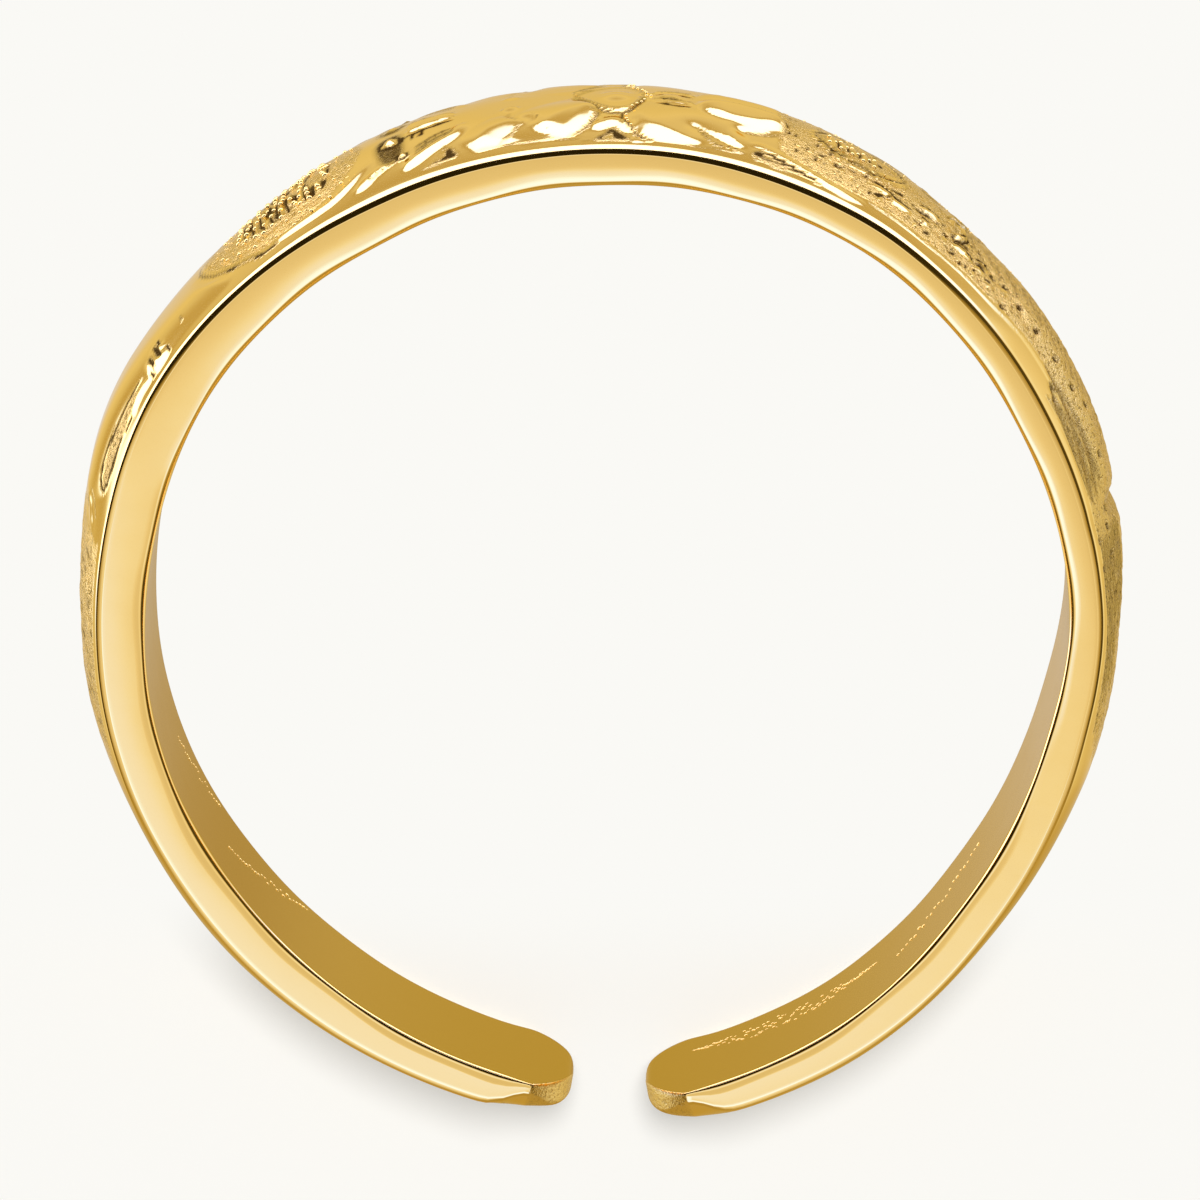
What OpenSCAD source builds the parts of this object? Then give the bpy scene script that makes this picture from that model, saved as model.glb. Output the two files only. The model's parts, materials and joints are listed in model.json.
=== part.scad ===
// Open toe ring in cast yellow gold, with floral relief round its front, lying on its side.
// All lengths are in millimetres and all angles in degrees. The frame's origin is the middle of the
// footprint on the floor, +Y points to the flower at the front and +Z up, out of the upper side face.

/* [Ring] */
// Width of the toe hollow across the true circle of its front, wall to wall
toe_diameter = 15.24; // [13:0.1:18]
// How much larger the radius of the two flatter arms is than the front's
arm_spread = 0.9; // [0:0.1:2]
// How far below the ring's middle each arm begins, in degrees
arm_start = 15; // [5:1:35]
// Clear gap between the two tips
tip_gap = 1.3; // [0.6:0.1:3]

/* [Band] */
// Width of the band at the flower, between the two side faces
front_width = 4.5; // [3.6:0.1:6]
// Width of the band beside the tips
tip_width = 3.2; // [2.4:0.1:3.5]
// Thickness of the band along its two edges, as the tables below share it out
edge_thickness = 0.6; // [0.5:0.05:1]
// How far the ground of the outer face is domed over its edges
dome_height = 0.38; // [0.2:0.02:0.6]
// Rounding of the outer edges beside the side faces
edge_round = 0.09; // [0.04:0.01:0.14]
// Easing cut along the inner edges of the side faces
inner_ease = 0.1; // [0.04:0.01:0.16]
// Length over which each tip is rounded off
tip_round = 1.25; // [0.8:0.05:1.6]
// Thickness left at the very end of a tip
tip_thickness = 0.34; // [0.25:0.01:0.45]

/* [Relief] */
// Height of a full motif over the ground
relief_rise = 0.14; // [0.06:0.01:0.2]
// Depth of a full pocket under the ground
pocket_depth = 0.12; // [0.04:0.01:0.16]
// Width of the smooth border strip along each edge
border_width = 0.36; // [0.25:0.01:0.5]
// Height of the border strip over the ground beside it
border_rise = 0.04; // [0:0.01:0.08]
// Angle of the flower's middle, counted from +X
flower_angle = 88.9; // [80:0.1:100]
// Angle at which the relief fades out on the left arm
relief_left = 194; // [185:1:205]
// Angle at which the relief fades out on the right arm
relief_right = -18; // [-30:1:-5]
// Radius of the round stippled flower
medallion_radius = 1.7; // [1.2:0.05:1.9]
// Radius of the ring round the boss of the middle flower
boss_ring = 0.62; // [0.5:0.02:0.8]

/* [Facets] */
// Angle between sections in the relief
relief_step = 1.25; // [1.25:0.05:3]
// Angle between sections on the plain arms
arm_step = 4; // [3:0.5:8]
// Number of strips across the relief between the borders
strips = 15; // [9:1:16]

/* [Hidden] */
toe_radius = toe_diameter / 2;
arm_radius = toe_radius + arm_spread;

// Half width of the band, which grows evenly from the tips to the flower.
front_reach = toe_radius + edge_thickness;
half_middle = (front_width + tip_width) / 4;
half_slope = (front_width - tip_width) / 4 / front_reach;
function half_width(y) = half_middle + half_slope * y;
// Tilt of each side face to the ring's middle plane, and so of the ring at rest.
face_tilt = atan(half_slope);

// Thickness of the edges: angle, share of edge_thickness.
edge_rows = [[-78, 0.82], [-40, 1.02], [22, 0.78], [60, 0.80], [95, 1.00], [155, 1.32], [215, 1.16], [258, 0.86]];
// Height of the dome: angle, share of dome_height.
dome_rows = [[-78, 0.92], [-60, 0.95], [-42, 0.66], [-22, 0.76], [14, 1.00], [166, 1.00], [196, 0.80], [258, 0.84]];
// Exponent of the dome's section: flatter in the middle than a parabola.
dome_power = 2.3;

// Exponent of a motif's section: under 1 its edge is steep, over 1 it fades into the ground.
motif_edge = 0.9;

// Columns of the table of raised motifs.
ANGLE = 0;    // degrees, where the motif's middle is
ACROSS = 1;   // share of the half width, where the motif's middle is
LONG = 2;     // half length, as a share of medallion_radius
WIDE = 3;     // half width, as a share of medallion_radius
TURN = 4;     // degrees, from along the band towards the edge
RISE = 5;     // share of relief_rise, or of pocket_depth in the table of pockets
motifs = [
    // petals round the middle flower, left then right
    [97.8, 0.47, 0.62, 0.33, -52, 0.85],
    [99.6, 0.00, 0.60, 0.40, 0, 1.00],
    [102.4, 0.68, 0.34, 0.12, -30, 0.70],
    [81.6, 0.64, 0.50, 0.26, 28, 0.85],
    [83.0, 0.13, 0.22, 0.16, 10, 0.80],
    [75.6, 0.25, 0.60, 0.38, -8, 1.10],
    [77.8, 0.70, 0.24, 0.07, 24, 0.60],
    [89.6, 0.52, 0.20, 0.18, 90, 0.60],
    // leaves and bud between the two flowers
    [109.6, 0.62, 0.56, 0.10, -31, 0.95],
    [115.0, 0.69, 0.36, 0.08, -21, 0.70],
    [114.0, 0.24, 0.18, 0.18, 0, 1.15],
    [114.2, 0.46, 0.16, 0.14, 0, 0.60],
    [109.4, 0.16, 0.30, 0.08, -8, 0.80],
    // stamens in the round flower
    [130.6, 0.14, 0.11, 0.50, 4, 0.90],
    [128.2, 0.18, 0.11, 0.46, -3, 0.75],
    [125.6, 0.20, 0.11, 0.34, -14, 0.85],
    [122.8, 0.10, 0.09, 0.30, -10, 0.60],
    // smooth leaf, bud and tick towards the left arm
    [157.5, 0.00, 1.10, 0.84, 0, 1.30],
    [148.0, 0.66, 0.15, 0.24, 0, 0.95],
    [143.5, 0.10, 0.40, 0.70, 0, 0.45],
    [167.0, 0.50, 0.22, 0.06, -58, 0.70],
    [181.5, 0.05, 0.80, 0.46, 0, 0.75],
    [176.6, 0.74, 0.20, 0.12, 20, 0.60],
    // strokes in the small ringed scroll
    [64.6, 0.00, 0.06, 0.28, 3, 0.80],
    [62.6, -0.02, 0.05, 0.26, 0, 0.70],
    [60.4, -0.02, 0.05, 0.20, 0, 0.70],
    // scrolls and the bright facet on the stippled ground
    [57.4, 0.53, 0.24, 0.05, 6, 0.55],
    [48.0, 0.54, 0.20, 0.05, -4, 0.55],
    [44.7, 0.50, 0.09, 0.09, 0, 0.60],
    [48.8, 0.24, 0.14, 0.30, -10, 0.95],
    [69.0, 0.74, 0.55, 0.07, 14, 0.70],
    // long leaf and striated leaf towards the right arm
    [32.5, 0.00, 1.42, 0.92, 0, 1.40],
    [3.0, 0.05, 1.36, 0.80, 0, 0.80],
    [-15.0, 0.00, 0.40, 0.50, 0, 0.35]
];
// Pockets beside the border, in the same columns.
pockets = [
    [89.2, 0.76, 0.24, 0.15, 0, 1.0],
    [108.4, 0.74, 0.24, 0.12, -20, 1.0],
    [69.6, 0.82, 0.40, 0.08, 8, 1.0],
    [157.0, 0.76, 0.62, 0.10, 0, 0.5],
    [92.6, 0.62, 0.30, 0.04, -68, 0.6],
    [86.9, 0.62, 0.30, 0.04, 72, 0.6]
];
// Rings: angle, across, radius as a share of medallion_radius, thickness as a share of it, rise.
rings = [
    [128.5, 0.0, 0.98, 0.13, 0.70],
    [flower_angle, 0.0, boss_ring / medallion_radius, 0.13, 0.85],
    [62.5, -0.05, 0.62, 0.13, 0.60]
];
// Radius of the boss in the middle flower.
boss_radius = boss_ring * 0.52;
// Length of one degree along the outer face.
degree = (toe_radius + edge_thickness + dome_height) * PI / 180;
// How far a body that gets cut runs on past the cut.
spare = 0.25;

// Value at an angle between the rows of a two-column table, eased at each row.
function eased(at, rows) =
    at <= rows[0][0] ? rows[0][1] :
    at >= rows[len(rows) - 1][0] ? rows[len(rows) - 1][1] :
    let (i = max([for (k = [0:len(rows) - 2]) if (rows[k][0] <= at) k]),
         share = (at - rows[i][0]) / (rows[i + 1][0] - rows[i][0]))
    rows[i][1] + (rows[i + 1][1] - rows[i][1]) * (1 - cos(180 * share)) / 2;

function limit(low, value, high) = min(max(value, low), high);
function direction(angle) = [cos(angle), sin(angle)];

// Middle of the arc that the inner wall follows at an angle, and its radius there.
right_middle = -arm_spread * direction(-arm_start);
left_middle = -arm_spread * direction(180 + arm_start);
function arc_middle(angle) = angle < -arm_start ? right_middle : angle > 180 + arm_start ? left_middle : [0, 0];
function arc_radius(angle) = angle < -arm_start || angle > 180 + arm_start ? arm_radius : toe_radius;

// Angles at which the tips end, so that the clear gap between them is tip_gap.
right_end = -acos((tip_gap / 2 - right_middle[0]) / (arm_radius + tip_thickness));
left_end = 180 - right_end;

// 0 at the very end of a tip, 1 where its rounding begins.
function tip_share(angle) =
    limit(0, min(angle - right_end, left_end - angle) * arm_radius * PI / 180 / tip_round, 1);
function tip_swell(angle) = sqrt(1 - pow(1 - tip_share(angle), 2));

// How much of the relief shows at an angle: 0 on the plain arms.
fade = 5;
function relief_share(angle) =
    limit(0, min(angle - relief_right, relief_left - angle) / fade, 1);

// Squared distance from a motif's middle in units of its own size.
function motif_reach(motif, angle, across, half) =
    let (x = (motif[ANGLE] - angle) * degree, y = (across - motif[ACROSS]) * half,
         long = motif[LONG] * medallion_radius, wide = motif[WIDE] * medallion_radius,
         c = cos(motif[TURN]), s = sin(motif[TURN]))
    pow((x * c + y * s) / long, 2) + pow((y * c - x * s) / wide, 2);
function motif_rise(motif, angle, across, half) =
    let (reach = motif_reach(motif, angle, across, half))
    reach < 1 ? motif[RISE] * pow(1 - reach, motif_edge) : 0;

// Distance from a ring's middle, and the ring's height there.
function ring_rise(ring, angle, across, half) =
    let (away = norm([(ring[0] - angle) * degree, (across - ring[1]) * half]),
         off = abs(away - ring[2] * medallion_radius) / (ring[3] * medallion_radius))
    off < 1 ? ring[4] * (1 - off * off) : 0;
function boss_rise(angle, across, half) =
    let (away = norm([(flower_angle - angle) * degree, across * half]) / boss_radius)
    away < 1 ? 0.9 * sqrt(1 - away * away) : 0;

// Reach in degrees within which a motif can matter, to leave the others out of the sum.
function near(row, angle) = abs(row[ANGLE] - angle) * degree < 1.05 * medallion_radius * max(row[LONG], row[WIDE]);
function near_ring(row, angle) = abs(row[0] - angle) * degree < 1.1 * medallion_radius * row[2];

// Height of the relief over the ground at an angle and a share across, the same on both halves.
function relief(angle, across, half, raised, sunk, ringed) =
    let (side = abs(across),
         up = max(concat([0, boss_rise(angle, side, half)],
             [for (m = raised) max(motif_rise(m, angle, side, half), motif_rise(m, angle, -side, half))],
             [for (r = ringed) ring_rise(r, angle, side, half)])),
         down = max(concat([0], [for (p = sunk) motif_rise(p, angle, side, half)])))
    relief_rise * up - pocket_depth * down;

// Height of the outer face over the inner wall, at an angle and a share across.
function outer_height(angle, across, half, raised, sunk, ringed) =
    let (side = abs(across), to_edge = (1 - side) * half,
         ground = dome_height * eased(angle, dome_rows) * (1 - pow(min(side, 1), dome_power)),
         show = relief_share(angle),
         inside = limit(0, (to_edge - border_width) / 0.1, 1),
         strip = border_rise * (1 - inside),
         rounded = to_edge < edge_round ? edge_round * (1 - sqrt(1 - pow(limit(0, 1 - to_edge / edge_round, 1), 2))) : 0,
         full = edge_thickness * eased(angle, edge_rows) + ground
             + show * (strip + inside * relief(angle, across, half, raised, sunk, ringed)) - rounded)
    tip_thickness + (full - tip_thickness) * (tip_share(angle) < 1 ? tip_swell(angle) : 1);

// Angles of the sections, from the right tip to the left one.
tip_steps = 6;
tip_degrees = tip_round / arm_radius * 180 / PI;
arm_right_span = relief_right - right_end - tip_degrees;
arm_left_span = left_end - tip_degrees - relief_left;
relief_count = ceil((relief_left - relief_right) / relief_step);
angles = concat(
    [for (i = [0:tip_steps - 1]) right_end + tip_degrees * (1 - cos(90 * i / tip_steps))],
    let (n = ceil(arm_right_span / arm_step)) [for (i = [0:n - 1]) right_end + tip_degrees + arm_right_span * i / n],
    [for (i = [0:relief_count - 1]) relief_right + (relief_left - relief_right) * i / relief_count],
    let (n = ceil(arm_left_span / arm_step)) [for (i = [0:n - 1]) relief_left + arm_left_span * i / n],
    [for (i = [tip_steps:-1:0]) left_end - tip_degrees * (1 - cos(90 * i / tip_steps))]);

// Shares across at which each section has a point on the outer face, from the lower face to the upper.
past = 1 + spare / half_width(0);
inner_share = 1 - border_width / half_width(0);
edge_shares = [past, 1 + edge_round * 0.4 / half_width(0), 1 - edge_round * 0.3 / half_width(0),
    1 - edge_round / half_width(0), (1 + inner_share) / 2];
shares = concat(-edge_shares, [for (i = [0:strips]) inner_share * (2 * i / strips - 1)],
    [for (i = [len(edge_shares) - 1:-1:0]) edge_shares[i]]);

// One section as points: the outer face, then two points inside the toe hollow.
function section(angle) =
    let (middle = arc_middle(angle), radius = arc_radius(angle), out = direction(angle), swell = tip_swell(angle),
         narrow = tip_share(angle) < 1 ? 0.22 + 0.78 * swell : 1,
         half = half_width(radius * sin(angle)),
         raised = [for (m = motifs) if (near(m, angle)) m],
         sunk = [for (p = pockets) if (near(p, angle)) p],
         ringed = [for (r = rings) if (near_ring(r, angle)) r])
    concat(
        [for (s = shares)
            let (at = middle + out * (radius + outer_height(angle, s, half, raised, sunk, ringed)))
            [at[0], at[1], s * narrow * half_width(at[1])]],
        let (at = middle + out * (radius - spare))
        [[at[0], at[1], past * narrow * half_width(at[1])], [at[0], at[1], -past * narrow * half_width(at[1])]]);

sections = [for (angle = angles) section(angle)];
points = [for (s = sections) each s];
count = len(sections[0]);
stations = len(sections);
faces = concat(
    [for (i = [0:stations - 2], j = [0:count - 1])
        let (k = (j + 1) % count, a = i * count, b = a + count)
        each [[a + j, b + k, a + k], [a + j, b + j, b + k]]],
    [[for (j = [0:count - 1]) (j + count - 2) % count]],
    [[for (j = [0:count - 1]) (stations - 1) * count + (2 * count - 2 - j) % count]]);

// The ring lies with its lower side face on the floor: turned by face_tilt about X, then lifted.
rest_lift = half_middle * cos(face_tilt);
function at_rest(p) =
    [p[0], p[1] * cos(face_tilt) - p[2] * sin(face_tilt), p[1] * sin(face_tilt) + p[2] * cos(face_tilt) + rest_lift];
// Footprint of the outer face, whose middle is the frame's origin.
rested = [for (s = sections) for (j = [1:len(shares) - 2]) at_rest(s[j])];
low = [for (k = [0, 1]) min([for (p = rested) p[k]])];
high = [for (k = [0, 1]) max([for (p = rested) p[k]])];
footprint = (low + high) / 2;
tall = front_width * 2;

// The solid that the hollow and the side faces are cut from.
module outer_body() {
    polyhedron(points, faces, convexity = 8);
}

// Sector of the plane that one arm's arc covers; side is 1 for the right arm and -1 for the left.
module arm_sector(side) {
    far = 4 * arm_radius;
    scale([side, 1, 1]) translate([0, 0, -tall])
        linear_extrude(2 * tall)
            polygon([[0, 0], far * direction(-arm_start), far * direction(-arm_start - 40), far * [0, -1]]);
}

// The toe hollow: a true circle at the front, and a flatter true arc along each arm.
module toe_hollow() {
    cylinder(r = toe_radius, h = 2 * tall, center = true, $fn = 180);
    for (side = [1, -1])
        intersection() {
            arm_sector(side);
            translate([side * right_middle[0], right_middle[1], 0])
                cylinder(r = arm_radius, h = 2 * tall, center = true, $fn = 180);
        }
}

// Puts its children on one side face, with +Z out of it; side is 1 for the upper face and -1 for the lower.
module on_face(side) {
    rotate([side * face_tilt, 0, 0]) translate([0, 0, side * half_middle * cos(face_tilt)])
        scale([1, 1, side]) children();
}

// Everything beyond one side face.
module beyond_face(side) {
    on_face(side) translate([-2 * arm_radius, -2 * arm_radius, 0])
        cube([4 * arm_radius, 4 * arm_radius, tall]);
}

// Easing of the edge where the hollow comes out through a side face, round a hollow of the given middle.
module ease_cone(side, middle, radius) {
    on_face(side)
        translate([middle[0], middle[1] * cos(face_tilt) + half_width(middle[1]) * sin(face_tilt),
                -inner_ease - spare])
            cylinder(r1 = radius - spare, r2 = radius + inner_ease + spare, h = inner_ease + 2 * spare, $fn = 180);
}

module inner_easing(side) {
    ease_cone(side, [0, 0], toe_radius);
    intersection() {
        arm_sector(1);
        ease_cone(side, right_middle, arm_radius);
    }
    intersection() {
        arm_sector(-1);
        ease_cone(side, left_middle, arm_radius);
    }
}

module toe_ring() {
    color("gold")
        translate([-footprint[0], -footprint[1], rest_lift])
            rotate([face_tilt, 0, 0])
                difference() {
                    outer_body();
                    toe_hollow();
                    for (side = [1, -1]) {
                        beyond_face(side);
                        inner_easing(side);
                    }
                }
}

toe_ring();
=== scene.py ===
# %% [markdown]
# # An open toe ring of cast yellow gold
#
# The ring is one casting: a band that is smooth inside, open at the back between two rounded tips, and
# carved with flowers and leaves round the front. It lies on its side on a pale floor.
#
# A wax carver makes such a ring as a flat bar first, carves the flowers into its face, and then bends the
# bar round. This lesson does the same: a flat bar with its heights worked out in numpy, small grains set
# on it with Geometry Nodes, and one node group that bends both round the toe. It starts with the packed
# ring as a fixed frame, which everything here has to fit.

import json
import math

import bpy
import numpy as np
from mathutils import Matrix, Vector


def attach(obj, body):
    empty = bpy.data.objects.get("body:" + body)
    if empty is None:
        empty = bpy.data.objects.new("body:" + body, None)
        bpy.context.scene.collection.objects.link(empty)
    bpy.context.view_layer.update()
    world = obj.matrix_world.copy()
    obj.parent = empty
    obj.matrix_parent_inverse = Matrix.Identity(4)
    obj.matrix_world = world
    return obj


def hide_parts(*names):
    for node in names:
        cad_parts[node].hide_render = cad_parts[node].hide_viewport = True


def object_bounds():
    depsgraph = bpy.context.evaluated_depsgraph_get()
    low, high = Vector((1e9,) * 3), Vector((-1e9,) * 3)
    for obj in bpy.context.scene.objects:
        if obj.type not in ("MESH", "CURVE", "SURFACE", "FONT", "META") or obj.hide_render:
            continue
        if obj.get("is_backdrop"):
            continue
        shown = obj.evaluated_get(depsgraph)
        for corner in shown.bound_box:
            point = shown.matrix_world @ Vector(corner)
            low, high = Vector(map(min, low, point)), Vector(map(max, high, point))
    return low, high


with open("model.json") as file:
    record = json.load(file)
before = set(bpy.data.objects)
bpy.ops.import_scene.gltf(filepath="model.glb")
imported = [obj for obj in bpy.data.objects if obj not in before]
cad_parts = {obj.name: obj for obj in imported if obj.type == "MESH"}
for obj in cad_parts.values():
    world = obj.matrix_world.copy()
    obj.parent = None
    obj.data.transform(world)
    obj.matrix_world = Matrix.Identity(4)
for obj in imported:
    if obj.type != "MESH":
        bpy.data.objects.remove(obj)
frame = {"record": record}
cad_low, cad_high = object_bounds()
MM = 0.001
print("box of the packed ring, mm:", [round(s / MM, 2) for s in cad_high - cad_low])

# %% [markdown]
# ## The ring's own frame
#
# On the real thing the toe sits in a round hollow, and the record states that seat: its middle, its axis
# and its radius. The ring is drawn about that axis, with the flower in direction +Y, and one matrix then
# lays it on its side. Taking the seat from the record, instead of typing it again, keeps the two models
# together when the ring is made larger or smaller.

# %% Read the seat of the toe
seat = next(m for m in frame["record"]["mounts"] if m["name"] == "toe")
toe_radius = seat["dims"]["r_mm"]
across_axis = Vector(seat["axis"]).normalized()
front_axis = across_axis.cross(Vector((1, 0, 0)))
to_floor = Matrix((
    (1, front_axis.x, across_axis.x, 0),
    (0, front_axis.y, across_axis.y, 0),
    (0, front_axis.z, across_axis.z, 0),
    (0, 0, 0, 1)))
ring_to_world = Matrix.Translation(seat["pos_m"]) @ to_floor @ Matrix.Scale(MM, 4)
print("toe radius, mm:", toe_radius, " tilt of the axis:",
      round(math.degrees(across_axis.angle((0, 0, 1))), 2))

# %% [markdown]
# ## The camera
#
# The picture is taken almost along the ring's axis, a little from the flower's side, so that one side
# face, the relief at the front and the inner wall of both arms show. A long lens from 20 cm gives the flat
# perspective of a product picture. Its up direction points to the flower, which Blender's usual camera
# tracking would turn upside down in a view from so high, so the camera's matrix is put together by hand.

# %% Place the camera
tilt = math.radians(14.5)
turn = math.radians(3.66)
distance = 200.0
image_size = 1200
pixels_per_mm = 60.06
aim_right, aim_up = -0.15, 0.016

view_back = Vector((math.sin(tilt) * math.sin(turn), math.sin(tilt) * math.cos(turn), math.cos(tilt)))
view_right = Vector((0, 1, 0)).cross(view_back).normalized()
view_up = view_back.cross(view_right)
eye = view_right * aim_right + view_up * aim_up + view_back * distance
turned = to_floor.to_3x3() @ Matrix((view_right, view_up, view_back)).transposed()

lens = bpy.data.cameras.new("camera")
lens.sensor_width = 36.0
lens.lens = pixels_per_mm * distance * lens.sensor_width / image_size
lens.clip_start, lens.clip_end = 0.01, 10.0
camera = bpy.data.objects.new("camera", lens)
camera.matrix_world = Matrix.Translation(ring_to_world @ eye) @ turned.to_4x4()
bpy.context.collection.objects.link(camera)
bpy.context.scene.camera = camera
print("focal length, mm:", round(lens.lens, 1), " height over the floor, mm:", round(camera.location.z / MM))

# %% [markdown]
# ## The sizes of the band
#
# The hollow follows three arcs: a true circle round the front, and a flatter arc along each arm. The band
# is widest at the flower and grows evenly towards it. Its edges are thickest on the left shoulder. These
# are the sizes that the solid model has, so the two agree everywhere but in the fine carving.
# All lengths are in millimetres and all angles in degrees, counted from +X towards the flower.

# %% Name the sizes
arm_spread = 0.9
arm_start = 15.0
tip_gap = 1.3
front_width = 4.5
tip_width = 3.2
edge_thickness = 0.6
dome_height = 0.38
dome_power = 2.3
tip_round = 1.25
tip_thickness = 0.34
flower_angle = 88.9

# Angle, and thickness of the edge as a multiple of edge_thickness.
EDGE_ROWS = [
    (-78, 0.82), (-40, 1.02), (22, 0.78), (60, 0.8), (95, 1.0), (155, 1.32), (215, 1.16), (258, 0.86)]

arm_radius = toe_radius + arm_spread
half_middle = (front_width + tip_width) / 4
half_slope = (front_width - tip_width) / 4 / (toe_radius + edge_thickness)
# Length of one degree along the outer face, and half the width of the flat bar.
degree = math.radians(toe_radius + edge_thickness + dome_height)
bar_half = half_middle + half_slope * (toe_radius + edge_thickness)


def eased(at, rows):
    """Values between the rows of a table, eased at each row, for an array of angles."""
    angles, values = np.array(rows, float).T
    i = np.clip(np.searchsorted(angles, at, side="right") - 1, 0, len(rows) - 2)
    share = np.clip((at - angles[i]) / (angles[i + 1] - angles[i]), 0, 1)
    return values[i] + (values[i + 1] - values[i]) * (1 - np.cos(np.pi * share)) / 2


def middle_x(side):
    """X of the middle of an arm's arc; side is 1 for the right arm and -1 for the left."""
    return -side * arm_spread * math.cos(math.radians(arm_start))


right_end = -math.degrees(math.acos((tip_gap / 2 - middle_x(1)) / (arm_radius + tip_thickness)))
left_end = 180 - right_end
print("the tips end at", round(right_end, 1), "and", round(left_end, 1), "degrees")

# %% [markdown]
# ## A grid over the face of the bar
#
# Heights can only show what the grid is fine enough to hold. The finest strokes of the carving are about
# 0.1 mm wide, so the relief gets a row of points every 0.06 mm, and the plain arms far fewer. The rows lie
# closer together beside the edge, where the border strip rolls over and the light changes quickly.
# The carving is the same on both halves of the band, so only the half with positive shares is worked out.

# %% Lay out the grid
relief_right, relief_left = -21.0, 199.0
relief_step = 0.38
arm_step = 0.9
tip_degrees = math.degrees(tip_round / arm_radius)

relief_angles = np.arange(relief_right, relief_left, relief_step)
right_arm = np.arange(right_end + tip_degrees, relief_right - arm_step / 2, arm_step)
left_arm = np.arange(relief_left, left_end - tip_degrees - arm_step / 2, arm_step)
# Distances of the first sections from the end of an arm, in mm. Two of them frame the edge of the nose.
nose = 0.72
tip_turns = np.degrees(np.array([
    0, 0.01, 0.03, 0.06, 0.1, 0.15, 0.21, 0.28, 0.36, 0.45, 0.55, 0.65, nose - 0.015, nose + 0.015,
    0.8, 0.95, 1.1]) / arm_radius)
stations = np.concatenate([
    right_end + tip_turns, right_arm, relief_angles, left_arm, left_end - tip_turns[::-1]])
stations[-1] = left_end - 1e-4
stations[0] = right_end + 1e-4

fine_from = 0.92
half_shares = np.concatenate([np.linspace(0, fine_from, 34, endpoint=False), np.linspace(fine_from, 1, 8)])
angle_grid = stations[:, None]
share_grid = half_shares[None, :]
along_grid = (angle_grid - flower_angle) * degree + 0 * share_grid
across_grid = share_grid * bar_half + 0 * angle_grid
print(len(stations), "sections with", len(half_shares), "points on each half of the face")

# %% [markdown]
# ## Tools for carving
#
# The relief has two levels, a low ground and high petals and leaves, and both are smooth domes that meet
# in the middle of the band. So the outline of the ring stays even, as in the picture, and the carving is
# deepest beside the border. A carver works with few strokes here: a petal whose edge falls away over some
# width, a thin ridge or cut along a line, a rough pocket and a punched pit. A wide fall on the border's
# side leans to the light and shines white. A place is given as its angle and its percent across the band,
# 0 in the middle and 100 at the edge. Distances to a line are worked out for the whole grid at once.

# %% Make the carving tools
lift = np.zeros_like(along_grid)
fine = np.zeros_like(along_grid)
matte = np.zeros_like(along_grid)
# How much darker each place is painted, as shade in cuts, pockets and pits; it also roughens them a little.
recess = np.zeros_like(along_grid)
chance = np.random.default_rng(11)


def to_bar(points):
    """Points given as angle and percent, as millimetres on the flat bar. Further columns are kept."""
    return [np.array(((p[0] - flower_angle) * degree, p[1] / 100 * bar_half, *p[2:])) for p in points]


def smooth(points, steps=5, closed=False):
    """More points on a smooth curve that passes through the given ones."""
    p = to_bar(points)
    if closed:
        p = [p[-1], *p, p[0], p[1]]
    elif len(p) < 3:
        return p
    else:
        p = [2 * p[0] - p[1], *p, 2 * p[-1] - p[-2]]
    curve = []
    for a, b, c, d in zip(p, p[1:], p[2:], p[3:]):
        for t in np.arange(steps) / steps:
            curve.append(0.5 * (2 * b + (c - a) * t + (2 * a - 5 * b + 4 * c - d) * t * t
                                + (3 * b - a - 3 * c + d) * t ** 3))
    return curve + [p[-2]]


def to_segment(p, q):
    """Distance of the grid's points to the line from p to q, and how far along it the nearest place lies."""
    length = math.hypot(q[0] - p[0], q[1] - p[1])
    dx, dy = (q[0] - p[0]) / length, (q[1] - p[1]) / length
    x, y = along_grid - p[0], across_grid - p[1]
    t = np.clip(x * dx + y * dy, 0, length)
    return np.hypot(x - t * dx, y - t * dy), t, dx * y - dy * x, length


def ridge(points, near, far, height, curve=1.15, ends=0.25, dull=None, dark=None):
    """Leaves a ridge standing along a line, or cuts one where the height is negative.

    A line drawn with rising angle has its near side to the border. The ridge falls over the widths near and
    far in mm, as a facet where curve is 1 and rounder where it is more, and tapers over the share ends.
    """
    best, done = np.full_like(along_grid, 1e3), 0.0
    side, way = np.ones_like(along_grid), np.zeros_like(along_grid)
    line = smooth(points)
    for p, q in zip(line, line[1:]):
        away, t, across, length = to_segment(p, q)
        closer = away < best
        best = np.where(closer, away, best)
        side = np.where(closer, across, side)
        way = np.where(closer, done + t, way)
        done += length
    way /= done
    taper = np.clip(np.minimum(way, 1 - way) / max(ends, 1e-6), 0, 1)
    taper = np.sqrt(1 - (1 - taper) ** 2)
    width = np.where(side >= 0, near, far) * np.maximum(taper, 0.2)
    share = np.clip(1 - (best / width) ** curve, 0, 1)
    form = height * share * taper
    fine[:] = fine + form if height < 0 else np.maximum(fine, form)
    if dull is not None:
        matte[share > 0.05] = dull
    # A cut is painted darker inside, as its shade: by dark, or else by its depth.
    if dark is None:
        dark = np.clip(-18 * height, 0, 0.8)
    recess[:] = np.maximum(recess, dark * np.clip(2 * share * taper, 0, 1))


def cut(points, width, depth, curve=1.15, **more):
    """Cuts a line as wide on both of its sides."""
    ridge(points, width, width, -depth, curve, **more)


def away_from(angle, place):
    """Distance of the grid's points to one place."""
    x, y = to_bar([(angle, place)])[0]
    return np.hypot(along_grid - x, across_grid - y)


def dot(angle, place, radius, height, curve=2.0, dark=0.0):
    """A round bead of the carving, or a punched pit where the height is negative."""
    form = np.clip(1 - (away_from(angle, place) / radius) ** curve, 0, 1)
    fine[:] += height * form
    # Dark paints shade into a pit.
    recess[:] = np.maximum(recess, dark * np.clip(2 * form, 0, 1))


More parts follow.
